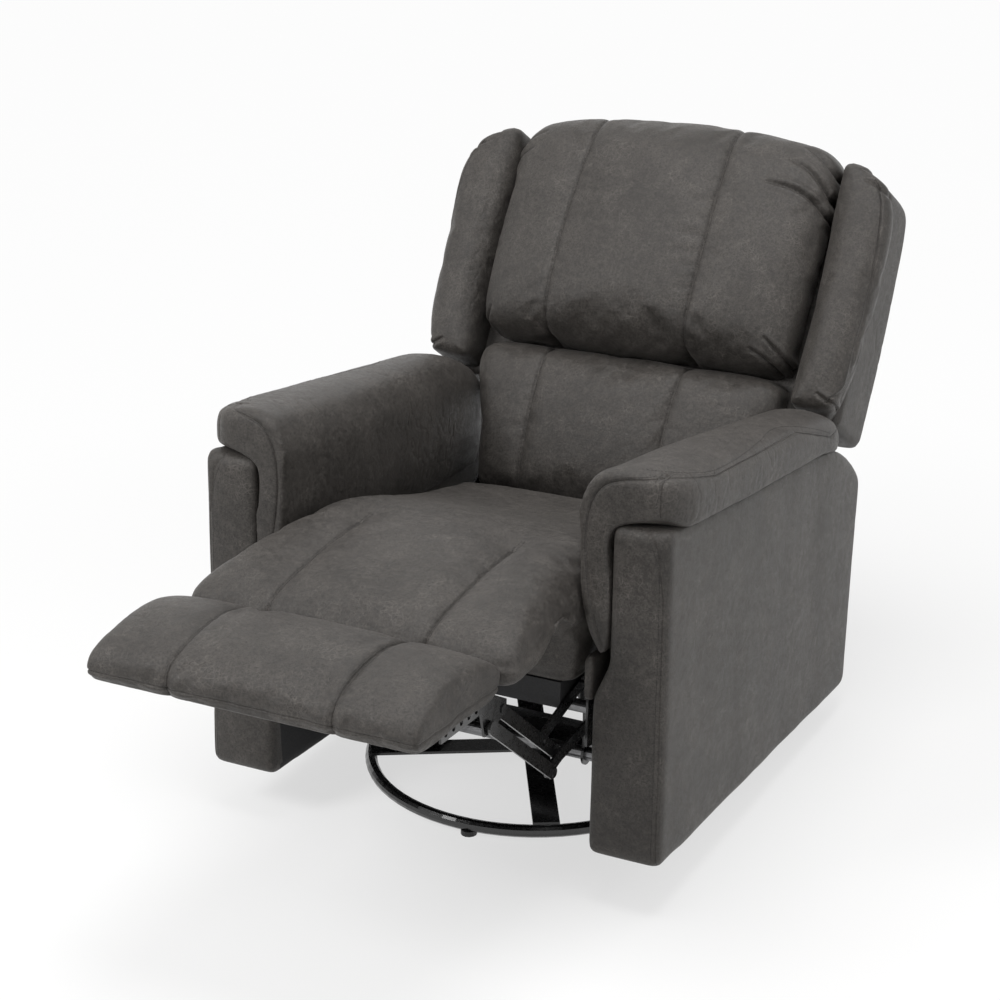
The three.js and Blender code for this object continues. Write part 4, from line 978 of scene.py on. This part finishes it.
def cloth_panel():
    """Cloth that closes the back below its shell, stretched over the frame."""
    points, faces = [], []
    across, tall = 26, 14
    for layer in (0, 1):
        for i in range(tall + 1):
            for k in range(across + 1):
                x = -0.5 * LINING_WIDE + LINING_WIDE * k / across
                u = 0.030 + LINING_TALL * i / tall
                sag = 0.0012 * sin(pi * k / across * 6) * sin(pi * i / tall)
                points.append(leaned((x, 0.0778 + sag * 0.5 + 0.0008 * layer, u)))
    size = (across + 1) * (tall + 1)
    for i in range(tall):
        for k in range(across):
            a = i * (across + 1) + k
            faces.append((a, a + 1, a + across + 2, a + across + 1))
            faces.append((a + size, a + size + across + 1, a + size + across + 2, a + size + 1))
    edge = [(0, k) for k in range(across)] + [(i, across) for i in range(tall)]
    edge += [(tall, across - k) for k in range(across)] + [(tall - i, 0) for i in range(tall)]
    ring = [i * (across + 1) + k for i, k in edge]
    for k, a in enumerate(ring):
        b = ring[(k + 1) % len(ring)]
        faces.append((a, b, b + size, a + size))
    return mesh_object("back_lining", points, faces)


lining_sheet = cloth_panel()
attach(lining_sheet, "back")

# Stitches, cast onto the finished covers
def heading(where, way):
    """A direction of the level chair or the upright back, in the model's frame."""
    start, stop = where(np.array([(0, 0, 0), way]))
    return stop - start


UP = heading(level, (0, 0, 1))
OUT_FRONT = -heading(level, (0, 1, 0))
OUT_OF_BACK = heading(leaned, (0, -1, 0))
ALONG_X = np.array([1.0, 0, 0])


PATH_POINTS = 60


def along_seat(x, start, stop, height=0.54):
    """A path over the seat or the footrest, from front to rear."""
    y = np.linspace(start, stop, PATH_POINTS)
    return level(joined(np.full(PATH_POINTS, x), y, np.full(PATH_POINTS, height)))


def up_back(x, start, stop):
    """A path in front of the back, along a bowed seam."""
    u = np.linspace(start, stop, PATH_POINTS)
    return leaned(joined(x * bowed(u), np.full(PATH_POINTS, -0.10), u))


for seam_x in (-SEAT_SEAM, SEAT_SEAM):
    stitch(seat, along_seat(seam_x, -0.365, -0.680), UP, "seat")
    stitch(footrest, along_seat(seam_x, -0.712, -0.925, 0.56), UP, "footrest")
for seam_x in BACK_SEAMS:
    stitch(pillow, up_back(seam_x, 0.330, 0.755), OUT_OF_BACK, "back")
    stitch(lumbar, up_back(seam_x, 0.040, 0.294), OUT_OF_BACK, "back")

BEFORE_ARMS = -0.445
TOP_SEAM = curve(PAD_SEAM, 0.004, False)
PANEL_SEAM = curve(
    [(0.405, 0.085), (0.404, 0.300), (0.403, 0.500), (0.399, 0.575), (0.385, 0.612)], 0.004, False)
for (side, sign), pad, arm, wing in zip(SIDES, pads, arms, wings):
    stitch(pad, placed(level, sign, PAD_FACE, BEFORE_ARMS), OUT_FRONT, "unit", 0.0022, (1,))
    path = level(joined(np.full(len(TOP_SEAM), sign * 0.44), TOP_SEAM[:, 0], TOP_SEAM[:, 1] + 0.007))
    stitch(pad, path, sign * ALONG_X, "unit", 0.0, (0,))
    stitch(arm, placed(level, sign, PANEL_SEAM, BEFORE_ARMS), OUT_FRONT, "unit", 0.0, (0,))
    stitch(wing, placed(leaned, sign, WING_EDGE, -0.07), OUT_OF_BACK, "back", -sign * 0.0030, (1,))

seat_thread = thread_object("seat_threads", "seat")
foot_thread = thread_object("footrest_threads", "footrest")
back_thread = thread_object("back_threads", "back")
unit_thread = thread_object("arm_threads", "unit")
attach(foot_thread, "footrest")
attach(back_thread, "back")
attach(unit_thread, "seat_unit")
for piece in (seat, seat_thread):
    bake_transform(piece)
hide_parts("seat_cushion", "bridge_pad")


# Materials
def feed(tree, node, inputs):
    """Links sockets to a node's inputs, and sets its other inputs to constants."""
    for key, value in inputs.items():
        if isinstance(value, bpy.types.NodeSocket):
            tree.links.new(value, node.inputs[key])
        else:
            node.inputs[key].default_value = value


def add(tree, kind, inputs=(), **values):
    node = tree.nodes.new("ShaderNode" + kind)
    put(node, values)
    feed(tree, node, dict(inputs))
    return node


def new_material(name):
    """A material, its tree, its shader and the object's own coordinates."""
    made = bpy.data.materials.new(name)
    made.use_nodes = True
    tree = made.node_tree
    place = add(tree, "TexCoord").outputs["Object"]
    return made, tree, tree.nodes["Principled BSDF"], place


def shade(colour, factor, lift=0.0):
    return tuple(min(1.0, c * factor + lift) for c in colour[:3]) + (1,)


def noise(tree, place, scale, detail=4.0, rough=0.55, distort=0.0):
    node = add(tree, "TexNoise", {
        "Vector": place, "Scale": scale, "Detail": detail, "Roughness": rough, "Distortion": distort})
    return node.outputs["Fac"]


def spread(tree, value, low, high, to_low=0.0, to_high=1.0):
    node = add(tree, "MapRange", {
        "Value": value, "From Min": low, "From Max": high, "To Min": to_low, "To Max": to_high})
    node.interpolation_type = "SMOOTHSTEP"
    return node.outputs["Result"]


def mottle(tree, place, low, high, *kind):
    """Noise that is 0 up to one level and 1 from another."""
    return spread(tree, noise(tree, place, *kind), low, high)


def sums(tree, kind, first, second):
    return add(tree, "Math", {0: first, 1: second}, operation=kind).outputs[0]


def times(tree, first, second):
    return sums(tree, "MULTIPLY", first, second)


def blend_colours(tree, factor, first, second):
    """Mixes two colours. The node's colour sockets are 6 and 7, and its colour comes out of 2."""
    node = add(tree, "Mix", {0: factor, 6: first, 7: second}, data_type="RGBA")
    return node.outputs[2]


def bumped(tree, height, strength, distance, under=None):
    values = {"Height": height, "Strength": strength, "Distance": distance}
    if under is not None:
        values["Normal"] = under
    return add(tree, "Bump", values).outputs["Normal"]


def suede(name, dark, mid, light):
    """Brushed microfibre that looks like worn suede, with mottles, fine cracks and pale flecks."""
    made, tree, shader, place = new_material(name)
    broad = mottle(tree, place, 0.30, 0.70, 8.0, 5.0, 0.62, 0.3)
    patch = mottle(tree, place, 0.34, 0.68, 75.0, 6.0, 0.75, 0.4)
    grain = mottle(tree, place, 0.40, 0.62, 240.0, 6.0, 0.85)
    nap = noise(tree, place, 1500.0, 2.0, 0.5)
    shift = add(tree, "TexNoise", {"Vector": place, "Scale": 60.0, "Detail": 3.0}).outputs["Color"]
    shift = add(tree, "VectorMath", {0: shift, "Scale": 0.012}, operation="SCALE").outputs[0]
    warped = add(tree, "VectorMath", {0: place, 1: shift}, operation="ADD").outputs[0]
    cells = add(tree, "TexVoronoi", {"Vector": warped, "Scale": 95.0}, feature="DISTANCE_TO_EDGE")
    fine = add(tree, "TexVoronoi", {"Vector": warped, "Scale": 240.0}, feature="DISTANCE_TO_EDGE")
    line = spread(tree, cells.outputs["Distance"], 0.0, 0.055, 1.0, 0.0)
    thin = spread(tree, fine.outputs["Distance"], 0.0, 0.07, 1.0, 0.0)
    worn = mottle(tree, place, 0.44, 0.66, 16.0, 5.0, 0.7, 0.6)
    cracks = times(tree, sums(tree, "MAXIMUM", line, times(tree, thin, 0.6)), worn)
    flecks = mottle(tree, place, 0.66, 0.76, 760.0, 2.0, 0.5)
    deep, pale = shade(dark, 0.55), shade(light, 1.9)
    colour = blend_colours(tree, broad, dark, mid)
    colour = blend_colours(tree, times(tree, patch, 0.60), colour, light)
    colour = blend_colours(tree, times(tree, grain, 0.70), colour, deep)
    colour = blend_colours(tree, times(tree, cracks, 0.42), colour, pale)
    colour = blend_colours(tree, times(tree, flecks, 0.50), colour, pale)
    soft = bumped(tree, patch, 0.15, 0.0008)
    soft = bumped(tree, cracks, 0.30, -0.0006, soft)
    soft = bumped(tree, grain, 0.40, 0.0005, soft)
    feed(tree, shader, {
        "Base Color": colour, "Roughness": spread(tree, patch, 0.0, 1.0, 0.40, 0.54),
        "Specular IOR Level": 0.26, "Sheen Weight": 0.06, "Sheen Roughness": 0.45,
        "Sheen Tint": (0.80, 0.77, 0.74, 1), "Normal": bumped(tree, nap, 0.20, 0.0002, soft)})
    return made


def painted(name, base, rough_low, rough_high, coat):
    """Gloss paint with dust and faint orange peel."""
    made, tree, shader, place = new_material(name)
    dust = mottle(tree, place, 0.50, 0.80, 60.0, 5.0, 0.7)
    feed(tree, shader, {
        "Base Color": blend_colours(tree, times(tree, dust, 0.5), base, shade(base, 1.5, 0.003)),
        "Roughness": spread(tree, noise(tree, place, 80.0, 4.0, 0.6), 0.3, 0.7, rough_low, rough_high),
        "Coat Weight": coat, "Coat Roughness": 0.12,
        "Normal": bumped(tree, noise(tree, place, 260.0, 2.0), 0.08, 0.0002)})
    return made


def plated(name, base):
    """Zinc plated steel, finely brushed, with dull spots."""
    made, tree, shader, place = new_material(name)
    drawn = add(tree, "Mapping", {"Vector": place, "Scale": (4.0, 60.0, 60.0)}).outputs[0]
    dull = mottle(tree, place, 0.45, 0.7, 24.0, 5.0, 0.7)
    feed(tree, shader, {
        "Base Color": blend_colours(tree, dull, base, shade(base, 0.62)), "Metallic": 1.0,
        "Roughness": spread(tree, noise(tree, drawn, 30.0, 4.0), 0.3, 0.7, 0.24, 0.42),
        "Normal": bumped(tree, noise(tree, drawn, 40.0, 3.0), 0.15, 0.0002)})
    return made


def sawn(name):
    """Raw softwood with growth rings and saw marks."""
    made, tree, shader, place = new_material(name)
    long = add(tree, "Mapping", {"Vector": place, "Scale": (1.0, 1.0, 6.0)}).outputs[0]
    wave = add(tree, "TexWave", {
        "Vector": long, "Scale": 9.0, "Distortion": 6.0, "Detail": 3.0, "Detail Scale": 1.6}).outputs["Fac"]
    fibre = noise(tree, add(tree, "Mapping", {
        "Vector": place, "Scale": (220.0, 220.0, 14.0)}).outputs[0], 1.0, 4.0)
    colour = blend_colours(tree, wave, (0.52, 0.36, 0.19, 1), (0.34, 0.20, 0.09, 1))
    colour = blend_colours(tree, times(tree, fibre, 0.35), colour, (0.24, 0.14, 0.07, 1))
    feed(tree, shader, {"Base Color": colour, "Roughness": 0.75, "Normal": bumped(tree, fibre, 0.3, 0.0004)})
    return made


def dust_cloth(name):
    """Black non-woven cloth with pressed dots."""
    made, tree, shader, place = new_material(name)
    dots = add(tree, "TexVoronoi", {"Vector": place, "Scale": 420.0, "Randomness": 0.25})
    pit = spread(tree, dots.outputs["Distance"], 0.10, 0.34)
    fibre = noise(tree, place, 300.0, 4.0, 0.7)
    colour = blend_colours(tree, pit, (0.006, 0.006, 0.0065, 1), (0.018, 0.018, 0.019, 1))
    colour = blend_colours(tree, times(tree, fibre, 0.5), colour, (0.030, 0.030, 0.031, 1))
    feed(tree, shader, {
        "Base Color": colour, "Roughness": spread(tree, fibre, 0.3, 0.7, 0.75, 0.92),
        "Normal": bumped(tree, fibre, 0.3, 0.0003, bumped(tree, pit, 0.3, 0.0003))})
    return made


def moulded(name):
    """Black moulded plastic with a fine spark texture."""
    made, tree, shader, place = new_material(name)
    rubbed = mottle(tree, place, 0.5, 0.7, 40.0, 4.0)
    feed(tree, shader, {
        "Base Color": blend_colours(tree, rubbed, (0.013, 0.013, 0.014, 1), (0.024, 0.024, 0.025, 1)),
        "Roughness": spread(tree, rubbed, 0.0, 1.0, 0.50, 0.38),
        "Normal": bumped(tree, noise(tree, place, 900.0, 2.0), 0.25, 0.0002)})
    return made


finishes = {
    "upholstery": suede(
        "upholstery", (0.031, 0.0279, 0.0252, 1), (0.050, 0.0450, 0.0406, 1), (0.084, 0.0760, 0.0690, 1)),
    "thread": suede(
        "thread", (0.014, 0.0125, 0.0115, 1), (0.022, 0.020, 0.018, 1), (0.034, 0.031, 0.028, 1)),
    "black_steel": painted("black_steel", (0.0045, 0.0045, 0.0048, 1), 0.22, 0.34, 0.5),
    "bright_steel": plated("bright_steel", (0.22, 0.22, 0.225, 1)),
    "timber": sawn("timber"),
    "lining": dust_cloth("lining"),
    "black_plastic": moulded("black_plastic"),
}
slots = {entry["node"]: entry["material_slot"] for entry in frame["record"]["subparts"]}
# The back's frame is given the black lining finish in place of its timber
slots["back_frame"] = "lining"
for name, node in nodes.items():
    node.data.materials.clear()
    node.data.materials.append(finishes[slots[name]])
for piece in (seat, footrest, pillow, lumbar, shell, *wings, *arms, *pads, *panels):
    piece.data.materials.clear()
    piece.data.materials.append(finishes["upholstery"])
for piece in (seat_thread, foot_thread, back_thread, unit_thread):
    piece.data.materials.append(finishes["thread"])
lining_sheet.data.materials.append(finishes["lining"])


def line_inside(arm):
    """Gives the hidden inner and lower faces of an arm the black lining."""
    arm.data.materials.append(finishes["lining"])
    for face in arm.data.polygons:
        middle = to_level(np.array(face.center))
        turned = np.array(face.normal)
        inner = abs(middle[0]) < ARM_INNER + 0.004 and middle[2] < 0.322 and abs(turned[0]) > 0.6
        if (inner and middle[1] > -0.405) or turned[2] < -0.8:
            face.material_index = 1


for arm in arms:
    line_inside(arm)

# Camera at the photograph's place
AZIMUTH = radians(27.383)
ELEVATION = radians(20.883)
ROLL = radians(-0.258)
DISTANCE = 4.174
AIM = Vector((-0.079162, SHIFT_Y, 0.480807))
camera = bpy.data.cameras.new("camera")
put(camera, dict(sensor_fit="HORIZONTAL", sensor_width=36, lens=85.93, clip_end=100))
viewer = linked("camera", camera)
toward = Vector((
    sin(AZIMUTH) * cos(ELEVATION), -cos(AZIMUTH) * cos(ELEVATION), sin(ELEVATION)))
right = Vector((0, 0, 1)).cross(toward).normalized()
up = toward.cross(right)
right, up = (
    right * cos(ROLL) + up * sin(ROLL), up * cos(ROLL) - right * sin(ROLL))
turn = Matrix((right, up, toward)).transposed().to_4x4()
viewer.matrix_world = Matrix.Translation(AIM + toward * DISTANCE) @ turn
scene.camera = viewer

# Floor, world and lamps
REACH = 14.0
WHITE = (1, 1, 1, 1)
floor_corners = [(-REACH, -REACH, 0), (REACH, -REACH, 0), (REACH, REACH, 0), (-REACH, REACH, 0)]
floor = mesh_object("floor", floor_corners, [(0, 1, 2, 3)])


def seen_rays(tree):
    """1 for the rays that see the background: from the camera, off gloss and through glass."""
    rays = add(tree, "LightPath").outputs
    direct = sums(tree, "MAXIMUM", rays["Is Camera Ray"], rays["Is Glossy Ray"])
    return sums(tree, "MAXIMUM", direct, rays["Is Transmission Ray"])


# The floor shows white further away, and keeps its shadows near the chair
ground, tree, shader, place = new_material("floor")
feed(tree, shader, {"Base Color": (0.88, 0.88, 0.875, 1), "Roughness": 0.9, "Specular IOR Level": 0.1})
glow = add(tree, "Emission", {"Color": WHITE, "Strength": 1.0})
away = add(tree, "VectorMath", {0: place}, operation="LENGTH").outputs["Value"]
share = times(tree, seen_rays(tree), spread(tree, away, 0.7, 2.2, 0.64, 0.95))
both = add(tree, "MixShader", {0: share, 1: shader.outputs[0], 2: glow.outputs[0]})
tree.links.new(both.outputs[0], tree.nodes["Material Output"].inputs["Surface"])
floor.data.materials.append(ground)

world = bpy.data.worlds.new("world")
scene.world = world
world.use_nodes = True
tree = world.node_tree
sky = tree.nodes["Background"]
feed(tree, sky, {"Color": WHITE, "Strength": 0.52})
seen = add(tree, "Background", {"Color": WHITE, "Strength": 1.0}).outputs[0]
both = add(tree, "MixShader", {0: seen_rays(tree), 1: sky.outputs[0], 2: seen})
tree.links.new(both.outputs[0], tree.nodes["World Output"].inputs["Surface"])


def lamp(name, place, aim, size, energy):
    data = bpy.data.lights.new(name, "AREA")
    put(data, dict(shape="DISK", size=size, energy=energy))
    made = linked(name, data)
    made.location = place
    made.rotation_euler = (Vector(aim) - Vector(place)).to_track_quat("-Z", "Y").to_euler()


lamp("key", (-1.5, -2.3, 2.5), (0, 0, 0.5), 1.2, 54)
lamp("top", (0.3, -0.2, 3.6), (0, 0, 0.4), 1.8, 62)
lamp("side", (2.9, -0.5, 1.9), (0, 0, 0.4), 1.6, 15)

scene.view_settings.view_transform = "Standard"
